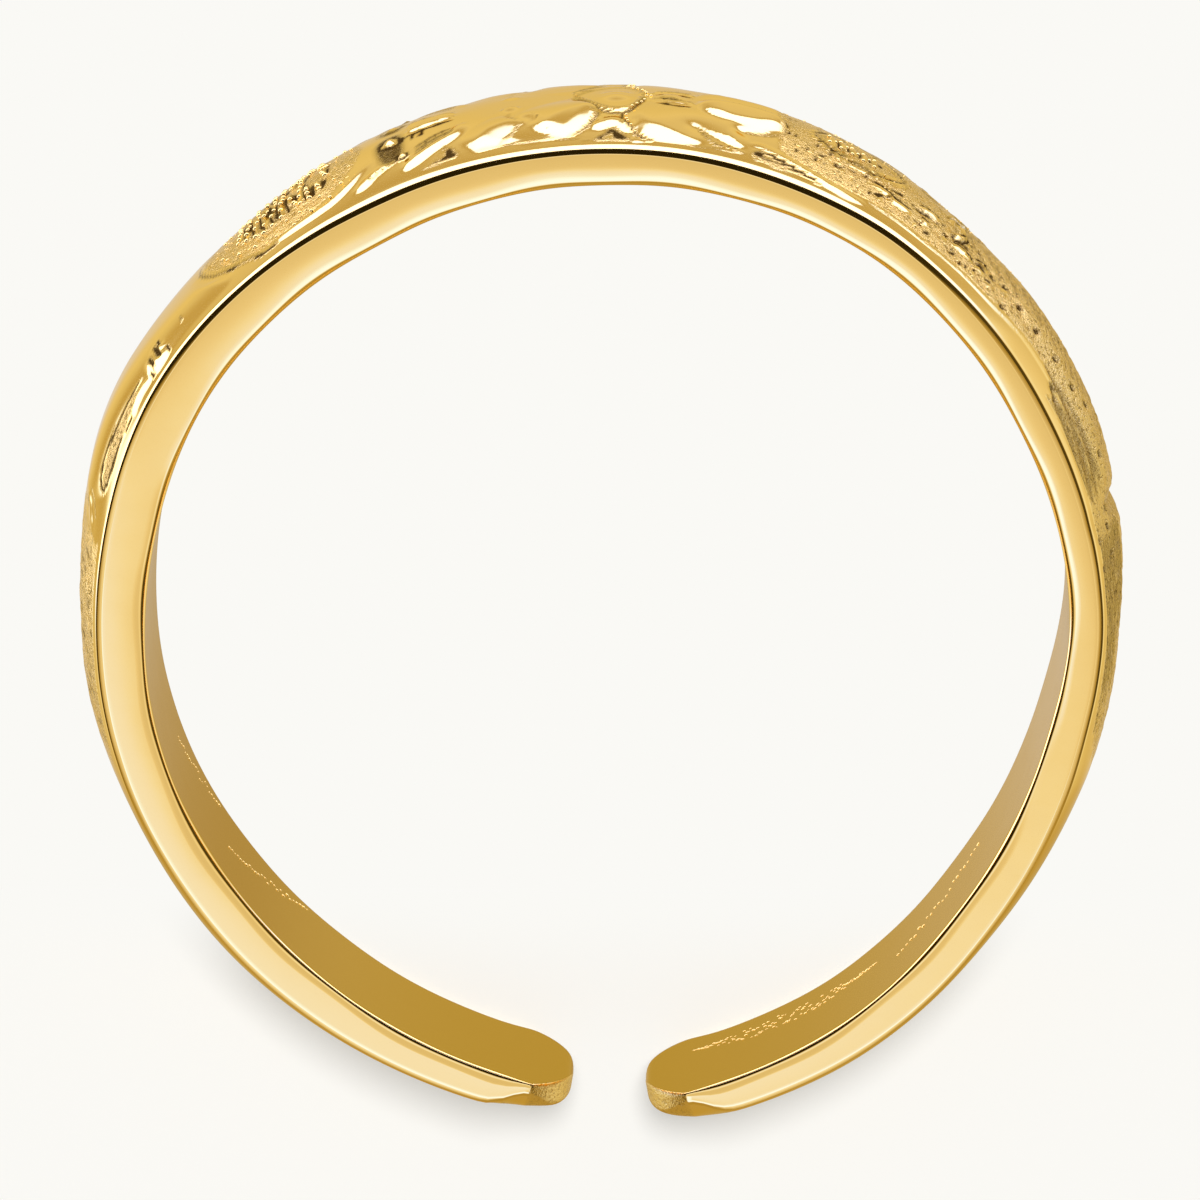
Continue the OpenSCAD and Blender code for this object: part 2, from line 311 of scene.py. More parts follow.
def inside_of(points, width=1.0):
    """0 outside an outline, rising inwards to 1 over the width, or over the widths in a third column."""
    line = smooth([(*p, width) if len(p) == 2 else p for p in points], closed=True)
    share = np.full_like(along_grid, 1e3)
    crossed = np.zeros(along_grid.shape, bool)
    for p, q in zip(line, line[1:]):
        away, t, _, length = to_segment(p, q)
        share = np.minimum(share, away / (p[2] + (q[2] - p[2]) * t / length))
        if p[1] != q[1]:
            above = (p[1] > across_grid) != (q[1] > across_grid)
            crossed ^= above & (along_grid < (q[0] - p[0]) * (across_grid - p[1]) / (q[1] - p[1]) + p[0])
    return np.where(crossed, np.clip(share, 0, 1), 0)


def petal(outline, level=1.0, curve=1.3, dull=None):
    """Raises all inside an outline to the high level. The third column is the width of its edge's fall."""
    share = inside_of(outline)
    lift[:] = np.maximum(lift, level * (1 - (1 - share) ** curve))
    if dull is not None:
        matte[share > 0.1] = dull


def lumps(size, amount):
    """Soft random heights with lumps of about that size in mm."""
    cells = (int(np.ptp(along_grid) / size) + 4, int(bar_half / size) + 4)
    values = chance.uniform(-1, 1, cells)
    x = (along_grid - along_grid.min()) / size
    y = across_grid / size
    i, j = x.astype(int), y.astype(int)
    u, v = x - i, y - j
    u, v = u * u * (3 - 2 * u), v * v * (3 - 2 * v)
    low = values[i, j] * (1 - u) + values[i + 1, j] * u
    high = values[i, j + 1] * (1 - u) + values[i + 1, j + 1] * u
    return amount * (low * (1 - v) + high * v)


def pocket(outline, depth, shoulder=0.1):
    """A pocket with a rough floor that the polishing wheel never reached, painted darker where lowest, as
    shade.
    """
    sunk = inside_of(outline, shoulder)
    rough = lumps(0.17, 0.8) + lumps(0.09, 0.6)
    fine[:] += sunk * depth * (rough - 1)
    matte[:] = np.maximum(matte, 0.2 * sunk)
    # The lowest places of the floor are painted darker, as shade.
    recess[:] = np.maximum(recess, sunk * np.clip(0.75 - rough, 0, 1))


def circle(angle, place, radius, start=0, stop=360, steps=28):
    """Points of a circle or an arc of it on the bar, counted from along the band."""
    turns = np.radians(np.linspace(start, stop, steps + 1))
    return [(angle + radius * math.cos(t) / degree,
             place + 100 * radius * math.sin(t) / bar_half) for t in turns]


# %% [markdown]
# ## The middle flower and its petals
#
# Two broad polished petals stand left and right of a small boss with a beaded rim. Each has lobes that fall
# steeply to the border: these falls are the white patches in the picture, and the third column of each
# outline makes them narrow or wide. The hollow below the right petal's crest is a wide, shallow cut.

# %% Carve the petals
LEFT_PETAL = [
    (90.7, -20, 0.5), (90.7, 20, 0.4), (90.9, 42, 0.26), (91.4, 52, 0.32), (92.1, 63, 0.38),
    (93.3, 75, 0.42), (94.9, 82, 0.44), (97, 83, 0.46), (97.9, 86, 1.3), (99.3, 87, 1.5),
    (100.2, 82, 0.6), (101.2, 79, 0.3), (102.7, 81, 0.3), (104.8, 82, 0.32),
    (105.7, 76, 0.7), (106.2, 55, 0.7), (106.6, 30, 0.6), (106.8, 0, 0.8), (106.8, -20, 0.8)]
RIGHT_PETAL = [
    (69.3, -20, 0.5), (69.7, 15, 0.26), (70.1, 28, 0.26), (71.1, 38, 0.24), (72.8, 45.5, 0.22),
    (75.3, 50, 0.24), (74.1, 60, 0.6), (74.3, 72, 0.5), (75.1, 76, 0.12), (76.9, 70, 0.12),
    (78.9, 63, 0.12), (80.5, 58.5, 0.3), (79.4, 66, 0.8), (78.8, 76, 0.8), (79.8, 84, 0.42),
    (82, 86.5, 0.44), (84.8, 86, 0.44), (86.4, 81, 0.36), (86.8, 72, 0.25), (87.2, 60, 0.18),
    (87.5, 42, 0.16), (87, 5, 0.3), (87, -20, 0.3)]
petal(LEFT_PETAL)
petal(RIGHT_PETAL)
ridge([(91.2, 36), (93.4, 43), (95.6, 54), (97.3, 69)], 0.66, 0.8, 0.095, 1.1, ends=0.12)
ridge([(99.8, 50), (101.7, 54), (103.7, 63), (105, 76)], 0.36, 0.45, 0.06, 1.1)
ridge([(97.9, 50), (98.6, 52), (99.4, 54)], 0.38, 0.3, -0.07, 1.15, ends=0.3, dark=0)
ridge([(70.2, 19), (73.2, 14), (76.7, 14), (80.2, 20)], 0.8, 0.6, 0.16, 1.05)
ridge([(70, 30), (71.5, 40), (73.5, 47), (76.5, 49), (79.2, 43), (80.5, 30)], 0.4, 0.34, -0.08, 1.15, dark=0)
cut([(86.7, 52), (84, 47), (81, 50)], 0.35, 0.025, 2, dark=0)

# The outlines that a graver has drawn beside the petals: points, width and depth.
CUTS = [
    ([(90.8, 42), (91.2, 50), (92, 63), (93.2, 75), (94.6, 82)], 0.045, 0.035),
    ([(90, 41), (91.4, 43), (92.4, 45)], 0.04, 0.02),
    ([(99.7, 55), (100.8, 70), (102.5, 81)], 0.04, 0.02),
    ([(100.1, 50), (101.1, 40), (100.9, 30)], 0.05, 0.015),
    ([(88.3, 42), (88.5, 52), (87.9, 64), (87.2, 73), (86.1, 83), (84.8, 87)], 0.05, 0.05),
    ([(69.8, 20), (70.4, 32), (72.2, 44), (74.9, 50)], 0.05, 0.02),
    ([(92, 87), (94.5, 83.5), (98, 81), (102, 81.5), (106.5, 79)], 0.04, 0.015),
    ([(74, 80), (76, 83), (78.5, 85), (81, 87)], 0.04, 0.012),
]
# Each cut is painted darker inside by its depth, as shade.
for line, width, depth in CUTS:
    cut(line, width, depth)

# The boss and its rim, the cap over the first pocket, and the small crescent beside the rim.
dot(89.2, 5, 0.26, 0.05, 1.6)
RIM = [(86, 4), (86.5, 18), (87.3, 30), (88.4, 36.5), (89.8, 36), (91.4, 28), (92.7, 17), (93.8, 6)]
ridge(RIM, 0.1, 0.1, 0.06, 1.1, ends=0.02)
cut([(a, p + 6) for a, p in RIM], 0.05, 0.04, ends=0.1)
cut([(a, p - 6) for a, p in RIM], 0.05, 0.02, ends=0.1)
ridge([(87.4, 74), (88.2, 64), (89.3, 58.5), (90.4, 61), (91.6, 70)], 0.2, 0.2, 0.07)
pocket([(91.8, 88.5), (90.7, 76), (89.7, 67.5), (88.6, 73), (87.2, 88.5)], 0.1)
ridge([(84.6, 88.5), (85.9, 88.5), (87.3, 86)], 0.07, 0.06, 0.035)
ridge([(80.6, 12), (81.8, 16), (83.6, 16), (85.2, 10)], 0.1, 0.05, 0.055)
# The two cuts of the crescent are painted dark inside, as shade.
cut([(80.7, 6), (82.4, 10), (84.8, 6)], 0.06, 0.05, dark=1)
cut([(80.8, 23), (82.6, 25), (84.8, 20)], 0.06, 0.04, dark=1)
dot(83.2, 2, 0.24, 0.05)
ridge([(100.1, 17), (101.7, 21)], 0.18, 0.12, 0.05, 1.2)
ridge([(74.5, 80), (75.9, 79), (77.5, 80)], 0.08, 0.07, 0.02)
for angle in (75.4, 76.1, 76.8, 77.5):
    cut([(angle, 76), (angle + 0.4, 81)], 0.04, 0.04)
cut([(77.2, 80), (78.4, 74), (79.9, 61)], 0.04, 0.035)

# %% [markdown]
# ## Leaves and buds between the two flowers
#
# Left of the petals two slim leaves lean towards the round flower, with a ball on a rough mass between
# them and a second pocket under the lower leaf. A smooth leaf swells beyond the round flower, with a bud,
# a loop and a curl below it.

# %% Carve the leaves on the left
ridge([(106.1, 28), (107.3, 46), (110.2, 60), (113.4, 76)], 0.15, 0.22, 0.065)
ridge([(112.5, 53), (114.5, 57), (116.8, 65), (119.3, 77)], 0.13, 0.12, 0.05)
cut([(113.5, 58), (115.6, 64), (117.6, 72)], 0.03, 0.03)
dot(113.3, 55, 0.07, 0.05)
# The ring cut round the small bead is painted dark, as shade.
cut(circle(113.3, 55, 0.09), 0.04, 0.03, dark=0.9)
pocket([(111.5, 85), (110.4, 80), (109.4, 70), (108.6, 61), (107.6, 64), (106.8, 74), (107, 83)], 0.12)
mass = inside_of([(116.8, 20), (116.1, 56), (114.1, 60), (112.7, 46), (113.1, 6), (115.7, 4)], 0.12)
fine += mass * (lumps(0.14, 0.07) + lumps(0.08, 0.03) - 0.06)
# The rough mass is painted darker, as shade among its lumps.
recess += 0.75 * mass
dot(114.6, 23, 0.17, 0.095, 1.5)
# The ball is kept free of painted shade, and a ring of painted shadow lies round it.
ball_away = away_from(114.6, 23)
recess[ball_away < 0.15] = 0
recess[(ball_away > 0.16) & (ball_away < 0.23)] = 1
ridge([(107.2, 5), (109.4, 7), (112.7, 12)], 0.13, 0.2, 0.065, 1, dark=0)
# The cut under the ridge and the short cuts beside it are painted dark inside, as shade.
ridge([(107.4, 13), (109.7, 15.5), (112.7, 20)], 0.06, 0.05, -0.06, 1, ends=0.1, dark=1)
for angle in (110.8, 111.8, 112.9, 113.2):
    cut([(angle, 18), (angle + 0.3, 30)], 0.05, 0.05, dark=1)
for k in range(3):
    ridge([(107.3, 31 + 6 * k), (109.4, 37 + 6 * k), (111.9, 49 + 6 * k)], 0.05, 0.07, -0.035)

SMOOTH_LEAF = [
    (140.7, -20, 0.25), (140.3, 20, 0.25), (139.2, 45, 0.28), (137.4, 61, 0.4), (136.2, 74, 0.8),
    (137.8, 84, 0.9), (144.9, 86, 1), (150.9, 86, 1.3), (159, 86, 1.4), (165, 82, 1.3),
    (167.6, 50, 0.5), (169.2, 15, 0.5), (171, -20, 0.5)]
petal(SMOOTH_LEAF, 0.9)
cut([(143.8, 59), (144, 70)], 0.05, 0.035)
BUD = [(150.9, 86), (150.8, 66), (149.8, 60), (148.4, 54), (147.5, 60), (146.7, 84), (148.7, 88)]
bud_depth = inside_of(BUD, 0.16)
fine += bud_depth * (0.05 + lumps(0.14, 0.05))
SCRIBBLES = [(149.5, 84, 62), (148.3, 80, 58), (147.7, 66, 56), (147, 86, 74), (150.3, 88, 80)]
# The scribbles in the bud are cuts painted dark inside, as shade.
for angle, foot, head in SCRIBBLES:
    cut([(angle - 0.1, foot), (angle + 0.1, head)], 0.055, 0.07, dark=1)
ridge([(150.7, 83), (152.5, 80), (154.3, 82), (155.4, 86)], 0.1, 0.08, 0.035)
# This cut is painted dark inside, as shade.
cut([(155.2, 89), (156.4, 87), (157.6, 86.5)], 0.06, 0.07, dark=1)
LOOP = [(158, 84), (162.4, 85), (164.8, 80), (164.2, 72), (161.6, 68), (157.4, 70), (153.3, 71), (151.5, 68)]
# The loop's cut is painted dark, as shade; inside the loop the ground is matte and painted a little darker,
# as shade.
ridge(LOOP, 0.05, 0.06, -0.04, ends=0.1, dark=0.9)
in_loop = inside_of([(165, 78), (161, 70), (155, 72), (152, 76), (157, 85), (163, 87)], 0.08)
matte[:] = np.maximum(matte, 0.8 * in_loop)
recess[:] = np.maximum(recess, 0.4 * in_loop)
for k in range(5):
    stroke = [(152.6 + k, 74.5 + 2.2 * k), (158, 73.5 + 2.8 * k), (164 - 0.4 * k, 76 + 2.2 * k)]
    ridge(stroke, 0.03, 0.04, -0.022)
ridge([(166.4, 44), (167.9, 53), (169.5, 65)], 0.1, 0.16, 0.022)
cut([(166.8, 38), (168.2, 45)], 0.05, 0.03)
cut([(165.6, 50), (166.8, 60), (168.4, 72)], 0.05, 0.02)
ridge([(167.2, 34), (168.4, 10), (169.6, -15)], 0.05, 0.06, -0.02)
ridge([(174.4, 62), (176.6, 66), (178.6, 74), (179.2, 84)], 0.07, 0.08, 0.035)
ridge([(175.4, 80), (176.4, 74), (177.8, 76)], 0.06, 0.06, 0.03)
cut([(176, 84), (176.8, 78)], 0.05, 0.04)
cut([(170.6, 72), (173, 73)], 0.05, 0.03)
petal([(188.5, -20, 0.8), (187, 30, 0.9), (181, 50, 0.9), (174.5, 45, 0.7), (172, -20, 0.7)], 0.7)
# These marks and the strokes on the arm below are cuts, painted darker inside as shade.
MARKS = [(186.2, 68, 10), (191.3, 73, 9), (193.7, 2, 10), (188.8, 20, 8), (181, 83, 7)]
for angle, place, reach in MARKS:
    cut([(angle, place - reach / 2), (angle + 0.6, place + reach / 2)], 0.05, 0.04)
on_left_arm = inside_of([(169.2, -30), (168.8, 45), (170.4, 78), (173, 93), (199, 95), (199, -30)], 0.3)
matte[:] = np.maximum(matte, 0.9 * on_left_arm)
fine += on_left_arm * (lumps(0.25, 0.01) + lumps(0.12, 0.008))
for k in range(34):
    at, foot = 172.5 + 0.72 * k, chance.uniform(10, 85)
    head = (at + chance.uniform(0.3, 1.4), foot + chance.uniform(6, 22))
    ridge([(at, foot), head], 0.05, 0.07, -chance.uniform(0.015, 0.04))

# %% [markdown]
# ## The round flower
#
# The round flower is a disc with a thin double rim, a stippled ground and a tuft of stamens. The rim grows
# into a broad bright band on the side of the middle flower. A ring of the carving is a ridge drawn along
# a circle, and each stamen is a short ridge beside a cut.

# %% Carve the round flower
disc_angle, disc_radius = 129.2, 1.7
on_disc = inside_of(circle(disc_angle, 0, disc_radius), 0.08)
lift *= 1 - on_disc
matte[:] = np.maximum(matte, 0.8 * on_disc)
fine += on_disc * (lumps(0.22, 0.012) + lumps(0.12, 0.008))
# The rim's cut is painted darker inside, as shade.
cut([(131.7, 80), (135.6, 64), (138.4, 46), (140.2, 18), (140.6, -10)], 0.05, 0.035, ends=0.05)
ridge([(131.7, 77), (135, 62), (137.8, 44), (139.6, 18), (140, -10)], 0.08, 0.06, 0.022, ends=0.1, dull=0.1)
BAND = [(117.2, 41), (118.6, 52), (120.6, 65), (122.9, 73.5), (126.6, 76.5), (131, 77)]
ridge(BAND, 0.1, 0.1, 0.045, ends=0.3, dull=0.05)
# These two cuts are painted dark inside, as shade.
ridge([(129.6, 80), (131.9, 80), (133.4, 76)], 0.06, 0.05, -0.06, dark=1)
ridge([(135.3, 66), (136.2, 62), (136.8, 58)], 0.06, 0.05, -0.06, dark=1)

# Columns: angle, foot and head in percent, lean in degrees, height.
STAMENS = [
    (134.4, 22, -4, 0.5, 0.03), (133.2, 32, -2, 0.6, 0.05), (131.9, 40, -6, 0.7, 0.07),
    (130.7, 45, 0, 0.9, 0.07), (129.6, 44, -8, 0.6, 0.06), (128.4, 42, 2, 0.4, 0.06),
    (127, 36, 16, -0.9, 0.08), (125.9, 42, 2, 0.2, 0.05), (124.9, 44, 20, -0.2, 0.06),
    (123.6, 38, 24, -0.3, 0.05), (122.9, 14, 2, -0.5, 0.04),
]
# Each stamen's cut is painted dark inside, as its shade.
for angle, foot, head, lean, height in STAMENS:
    bend = chance.uniform(-0.25, 0.25)
    ridge([(angle - lean / 2, foot), (angle + bend, (foot + head) / 2), (angle + lean / 2, head)],
          0.075, 0.065, height, 1.2, ends=0.2, dull=0.1, dark=0)
    cut([(angle - lean / 2 - 0.6, foot + 4), (angle - 0.6 + bend, (foot + head) / 2), (angle - 0.6, head)],
        0.06, 0.07, dark=1)
    dot(angle - 0.2, foot + 3, 0.07, 0.04)

# %% [markdown]
# ## The small scroll and the stippled ground
#
# Right of the petals the ground is stippled, with a small double ring, scrolls and a bright facet. A long
# pocket under a bright ridge opens the strip beside the border, and the ridge runs on along the ground's
# edge as a thin bright line.

# %% Carve the scroll and the ground on the right
GROUND = [
    (71, 34), (70.4, 62), (65.7, 76), (59.6, 77), (51.5, 77), (43.4, 75), (35.3, 69), (17.1, 68),
    (16.1, 30), (16.1, -30), (43.4, -30), (69.4, -30)]
on_ground = inside_of(GROUND, 0.1)
matte[:] = np.maximum(matte, on_ground)
fine += on_ground * (lumps(0.2, 0.008) + lumps(0.11, 0.008))
pocket([(73.8, 76), (72.9, 70), (70.8, 74), (68.6, 80), (67.4, 84), (68.4, 87), (72.4, 88.5), (73.7, 84)],
       0.11)
# The cut along the pocket is painted dark inside, as shade.
cut([(65, 86.5), (67.6, 82), (70, 76.5), (72.8, 70.5)], 0.05, 0.07, dark=1)
ridge([(59.6, 84.5), (62.7, 84), (65.9, 79.5), (68.8, 73.5), (71.2, 68.5), (73, 65), (74.1, 67)],
      0.08, 0.14, 0.032, 1, ends=0.25, dull=0.05)
ground_edge = [(17.1, 69), (27.2, 70), (35.3, 70), (41.4, 75.5), (45.8, 75.5), (51.5, 78), (55.6, 77.5),
               (60.1, 76.5)]
ridge(ground_edge, 0.06, 0.07, 0.02, 1, ends=0.05, dull=0.1)

scroll_angle, scroll_place = 61.3, -6
ridge(circle(scroll_angle, scroll_place, 0.74, 10, 170), 0.1, 0.06, 0.05, 1, ends=0.2, dull=0.05, dark=0)
# The cut between the two rings is painted dark, as shade.
cut(circle(scroll_angle, scroll_place, 0.85, 10, 170), 0.05, 0.06, 1, ends=0.2, dark=1)
ridge(circle(scroll_angle, scroll_place, 0.94, 10, 170), 0.11, 0.06, 0.045, 1, ends=0.2, dull=0.05, dark=0)
# Beside each spike is a cut painted dark inside, as shade.
for k, height in enumerate([0.08, 0.07, 0.05, 0.06, 0.05]):
    at = 64.7 - 1.3 * k
    ridge([(at, 15 - 2 * k), (at + 0.3, -10)], 0.075, 0.075, height, 1.2, dull=0.1)
    cut([(at - 0.6, 13 - 2 * k), (at - 0.4, -8)], 0.05, 0.05, dark=1)

# Columns: points, near width, far width, height.
SCROLLS = [
    ([(54.1, 53), (55.2, 54), (56.6, 53), (57.4, 49), (58.4, 47), (59.8, 48)], 0.16, 0.06, 0.045),
    ([(51.8, 52), (53, 52)], 0.15, 0.06, 0.045),
    ([(49.3, 50), (49.9, 51)], 0.15, 0.06, 0.04),
    ([(45.3, 52), (46, 48), (47, 46), (48.4, 49)], 0.15, 0.06, 0.045),
    ([(43.2, 42), (44, 39), (44.9, 44)], 0.16, 0.06, 0.05),
    ([(43.4, 52), (44.2, 50), (44.8, 51)], 0.15, 0.06, 0.04),
    ([(50.7, 27), (52.1, 28), (53.4, 32)], 0.16, 0.06, 0.05),
    ([(46.8, 6), (49.4, 6)], 0.22, 0.08, 0.075),
    ([(46.9, 16), (47.4, 26), (48.6, 33)], 0.18, 0.1, 0.075),
    ([(42.3, 59), (42.9, 60)], 0.11, 0.06, 0.035),
    ([(40.1, 42), (40.6, 46)], 0.12, 0.06, 0.035),
    ([(44.5, 63), (45, 63)], 0.1, 0.06, 0.03),
    ([(58, 63), (58.6, 63)], 0.1, 0.06, 0.03),
    ([(53.1, 66), (53.5, 66)], 0.1, 0.06, 0.03),
]
# Under each scroll a cut is painted dark inside, as shade.
for line, near, far, height in SCROLLS:
    ridge(line, near, far, height, 1.1, dull=0.05, dark=0)
    cut([(a, p - 5.5) for a, p in line], 0.07, 0.04, dark=1)
# These cuts and the short stipple cuts are painted dark inside, as shade.
cut([(50.6, 36), (51.6, 35), (53.6, 41)], 0.06, 0.07, dark=1)
cut([(46.7, 0), (48, 4), (49.6, 0)], 0.05, 0.06, dark=1)
cut([(46.5, 20), (47.2, 33), (48.8, 40)], 0.04, 0.05, dark=1)
for k in range(44):
    at, foot = chance.uniform(41, 70), chance.uniform(15, 68)
    cut([(at, foot), (at + chance.uniform(0.2, 0.7), foot + chance.uniform(-5, 5))], 0.055, 0.035, dark=1)

# %% [markdown]
# ## The striated leaves of the right arm
#
# Towards the right arm two long matte leaves overlap. The first ends in a step, which shows as a notch in
# the ring's outline, and the second fades into the plain arm. Fine strokes run along both.

# %% Carve the long leaves
first_leaf = [(51.5, -40, 1.2), (49.5, 10, 1), (37.3, 50, 0.9), (26.2, 66, 0.9), (17.5, 66, 0.5),
              (15.3, 30, 0.16), (15.3, -40, 0.16)]
petal(first_leaf, 0.8, 1.6)
fine += lumps(0.1, 0.012) * inside_of([(51.5, 62), (16.1, 70), (-15, 84), (-19, -30), (51.5, -30)], 0.4)
# The cut at the step is painted a little darker, as shade.
cut([(12.1, -40), (12.1, 10), (13.2, 48)], 0.3, 0.11, 1.1, ends=0.05, dark=0.3)
on_leaf = inside_of([(15.7, 90), (15.7, -40), (-9, -40), (-19, 20), (-13, 80), (-1, 93)], 0.15)
matte[:] = np.maximum(matte, 0.9 * on_leaf)
# The fine strokes are cuts painted darker inside, as shade.
for k in range(13):
    high = 92 - 5.5 * k
    slip = chance.uniform(-2.5, 1.5)
    ridge([(-12 + k + slip, high - 16), (0.5 + slip, high - 9), (12, high)], 0.05, 0.06, -0.028, dark=0.55)
for k in range(9):
    high = 93 - 3.5 * k
    slip = chance.uniform(-3, 2)
    ridge([(14.6, high - 5), (20 + slip, high - 3), (26.5 + slip + 0.6 * k, high)],
          0.045, 0.055, -0.028, dull=0.5, dark=0.55)
for k in range(22):
    at = 48 - 1.35 * k
    foot = 16 + chance.uniform(-5, 22)
    ridge([(at, foot), (at + 1.1, foot - 26)], 0.05, 0.06, -0.022, dark=0.5)
cut([(27.2, 80), (28.2, 76), (29.6, 73)], 0.06, 0.05)

# Small round sinkings along the leaf, painted dark inside as shade.
PITS = [(40.3, 37), (39.7, 65), (37.8, 43), (34.6, 46), (30.8, 47), (27.1, 47), (24.5, 37), (19.1, 50),
        (13, 53), (11.1, 60), (8.1, 60), (5.5, 57), (3.3, 50), (7, 84), (10.3, 87)]
for angle, place in PITS:
    dot(angle, place, 0.085, -0.06, 1.6, dark=0.9)
print("fine relief, mm:", round(float(fine.min()), 3), "to", round(float(fine.max()), 3))

# %% [markdown]
# ## The border strip and the edges
#
# A smooth strip runs along both edges of the band. Its outer part rolls over before it meets the side
# face: the light turns from white to black on this roll, and it draws the fine double line round the ring.
# The height of the middle of the band changes along the ring, and a table holds it as read from the
# outline in the picture. A second table holds how far the ring strays from its true arcs, because no ring
# bent by hand is a perfect circle. Both are blended over some degrees, as a polished outline has no kinks.

# %% Finish the heights of the outer face
# Angle, and height of the middle of the band over its edges, in hundredths of a mm.
CREST_ROWS = [
    (-80, 24), (-72, 28.5), (-62, 32), (-45, 23), (-36, 29), (-24, 35.5), (-14, 45.5), (-8, 42),
    (-4, 37.5), (0, 35), (5, 46.5), (9, 52), (13, 51), (18, 59.5), (24, 65.5), (28, 62), (34, 61.5),
    (40, 57.5), (45, 47.5), (50, 49.5), (56, 48.5), (64, 51), (68, 53), (74, 50.5), (84, 47), (90, 47),
    (96, 43.5), (104, 49), (108, 49), (115, 55.5), (122, 50), (127, 45.5), (132, 37), (138, 38),
    (147, 42.5), (152, 48.5), (158, 58.5), (168, 51), (174, 43), (181, 37.5), (188, 42.5), (192, 42),
    (200, 28), (207, 30), (216, 34), (240, 28), (250, 22.5), (258, 12)]
# Angle, and how far the bent ring strays from its true arcs, in hundredths of a mm.
UNEVEN_ROWS = [
    (-84, 5.5), (-78, 6.5), (-66, 4.5), (-57, 3.5), (-48, -2), (-38, -10.5), (-24, -12), (-13, -11.5),
    (-6, -4.5), (0, 1), (10, 0), (26, -3.5), (38, 0), (48, 3), (57, 6.5), (66, 3.5), (78, -1.5), (90, -8),
    (108, -9.5), (119, -12), (132, -5.5), (144, 0), (151, 2), (162, -1), (168, -2), (180, 1.5),
    (190, 5.5), (201, 6.5), (216, -2), (228, -6.5), (240, -9), (252, -10.5), (262, -5.5)]
ground_power, petal_power = 1.8, 3.5
strip_width, strip_step = 0.24, 0.05
roll_drop, roll_power = 0.075, 3.0
edge_drop = 0.03
# The dip between the two long leaves: angle, width in degrees and depth.
notch_angle, notch_width, notch_depth = 12.8, 1.5, 0.065
# Angle, and width in mm of the part that rolls over beside the edge.
ROLL_ROWS = [
    (-80, 0.09), (10, 0.11), (44, 0.13), (62, 0.2), (120, 0.2), (145, 0.14), (160, 0.1), (185, 0.09),
    (258, 0.09)]
fade_degrees = 6.0


def blended(at, rows, reach=5):
    """Values between the rows of a table, averaged over some degrees so that no kink shows."""
    angles, values = np.array(rows, float).T
    return np.mean([np.interp(at + k, angles, values) for k in range(-reach, reach + 1)], axis=0)


to_edge = (1 - share_grid) * bar_half + 0 * angle_grid
carved = np.clip((to_edge - strip_width) / strip_step, 0, 1)
shown = np.clip(np.minimum(angle_grid - relief_right - 2, relief_left - 2 - angle_grid) / fade_degrees, 0, 1)
matte *= carved * shown
recess *= carved * shown
roll_width = blended(angle_grid, ROLL_ROWS)
crest = blended(angle_grid, CREST_ROWS) / 100 - (roll_drop - edge_drop)
crest = crest - notch_depth * np.exp(-((angle_grid - notch_angle) / notch_width) ** 2)
power = ground_power + (dome_power - ground_power) * (1 - shown)
ground = crest * (1 - share_grid ** power)
high = crest * (1 - share_grid ** petal_power)
roll = roll_drop * (1 - np.clip(1 - to_edge / roll_width, 0, 1) ** roll_power)
edge_height = edge_thickness * eased(angle_grid, EDGE_ROWS)


def face_height(depth, detail):
    """Height of the outer face over the inner wall, with the carving at two shares of its depth."""
    petals = depth * lift + 0.5 * (1 - depth) * np.clip((0.86 - share_grid) / 0.15, 0, 1)
    carving = ((high - ground) * petals + fine * detail) * carved * shown
    return edge_height - edge_drop + roll + ground + carving


# The half on the floor's side is carved less deep, and the two halves meet over the middle of the band.
near_side, far_side = face_height(1.0, 1.0), face_height(0.2, 0.35)
join = np.clip(share_grid / 0.25, 0, 1) * np.clip((0.86 - share_grid) / 0.1, 0.2, 1)

to_end = np.minimum(angle_grid - right_end, left_end - angle_grid) * math.radians(arm_radius)
swell = np.sqrt(1 - (1 - np.clip(to_end / tip_round, 0, 1)) ** 2)
# Just before its end the arm's outer face is filed down to the side face, more towards the edge.
filed_at, filed_width, filed_share = 0.74, 0.36, 0.62
filed = 1 - filed_share * np.exp(-((to_end - filed_at) / filed_width) ** 2) * share_grid ** 5
height = (tip_thickness + (near_side - tip_thickness) * swell) * filed
far_height = (tip_thickness + (near_side + (far_side - near_side) * join - tip_thickness) * swell) * filed

# In plan each arm ends in a blunt nose, an arc that meets the side faces at an edge.
half_tip = tip_width / 2
nose_radius = (half_tip ** 2 + nose ** 2) / (2 * nose)
from_end = to_end[:, 0]
narrow = np.sqrt(np.clip(2 * nose_radius * from_end - from_end ** 2, 0.01, None)) / half_tip
narrow = np.where(from_end < nose, narrow, 1.0)
# On the floor's side the nose runs into the side face without an edge.
far_nose = 0.85
far_narrow = (1 - (1 - np.clip(from_end / far_nose, 0.004, 1)) ** 2.2) ** 0.5
on_nose = np.clip((nose - from_end) / 0.03, 0, 1)
wall_end = 0.1 * (1 - np.sqrt(1 - (1 - np.clip(from_end / 0.12, 0, 1)) ** 2))
uneven = blended(stations, UNEVEN_ROWS, 3) / 100
print("thickness of the band, mm:", round(float(height.min()), 2), "to", round(float(height.max()), 2))

# %% [markdown]
# ## The flat bar
#
# Each section of the bar is a closed loop of points: across the face, round the corner, over one side
# face, round the inner corner, along the inner wall and back. Joining equal loops gives a closed tube of
# quads, which is easy to check: no hole, and every face points outwards. The side faces are crowned by a
# hundredth of a millimetre at the front, as polishing leaves them, because a truly flat mirror looks dead.

# %% Build the bar
corner = 0.06
inner_round = 0.16
corner_turns = np.radians([60, 68, 77, 86])
corner_start = math.radians(52)
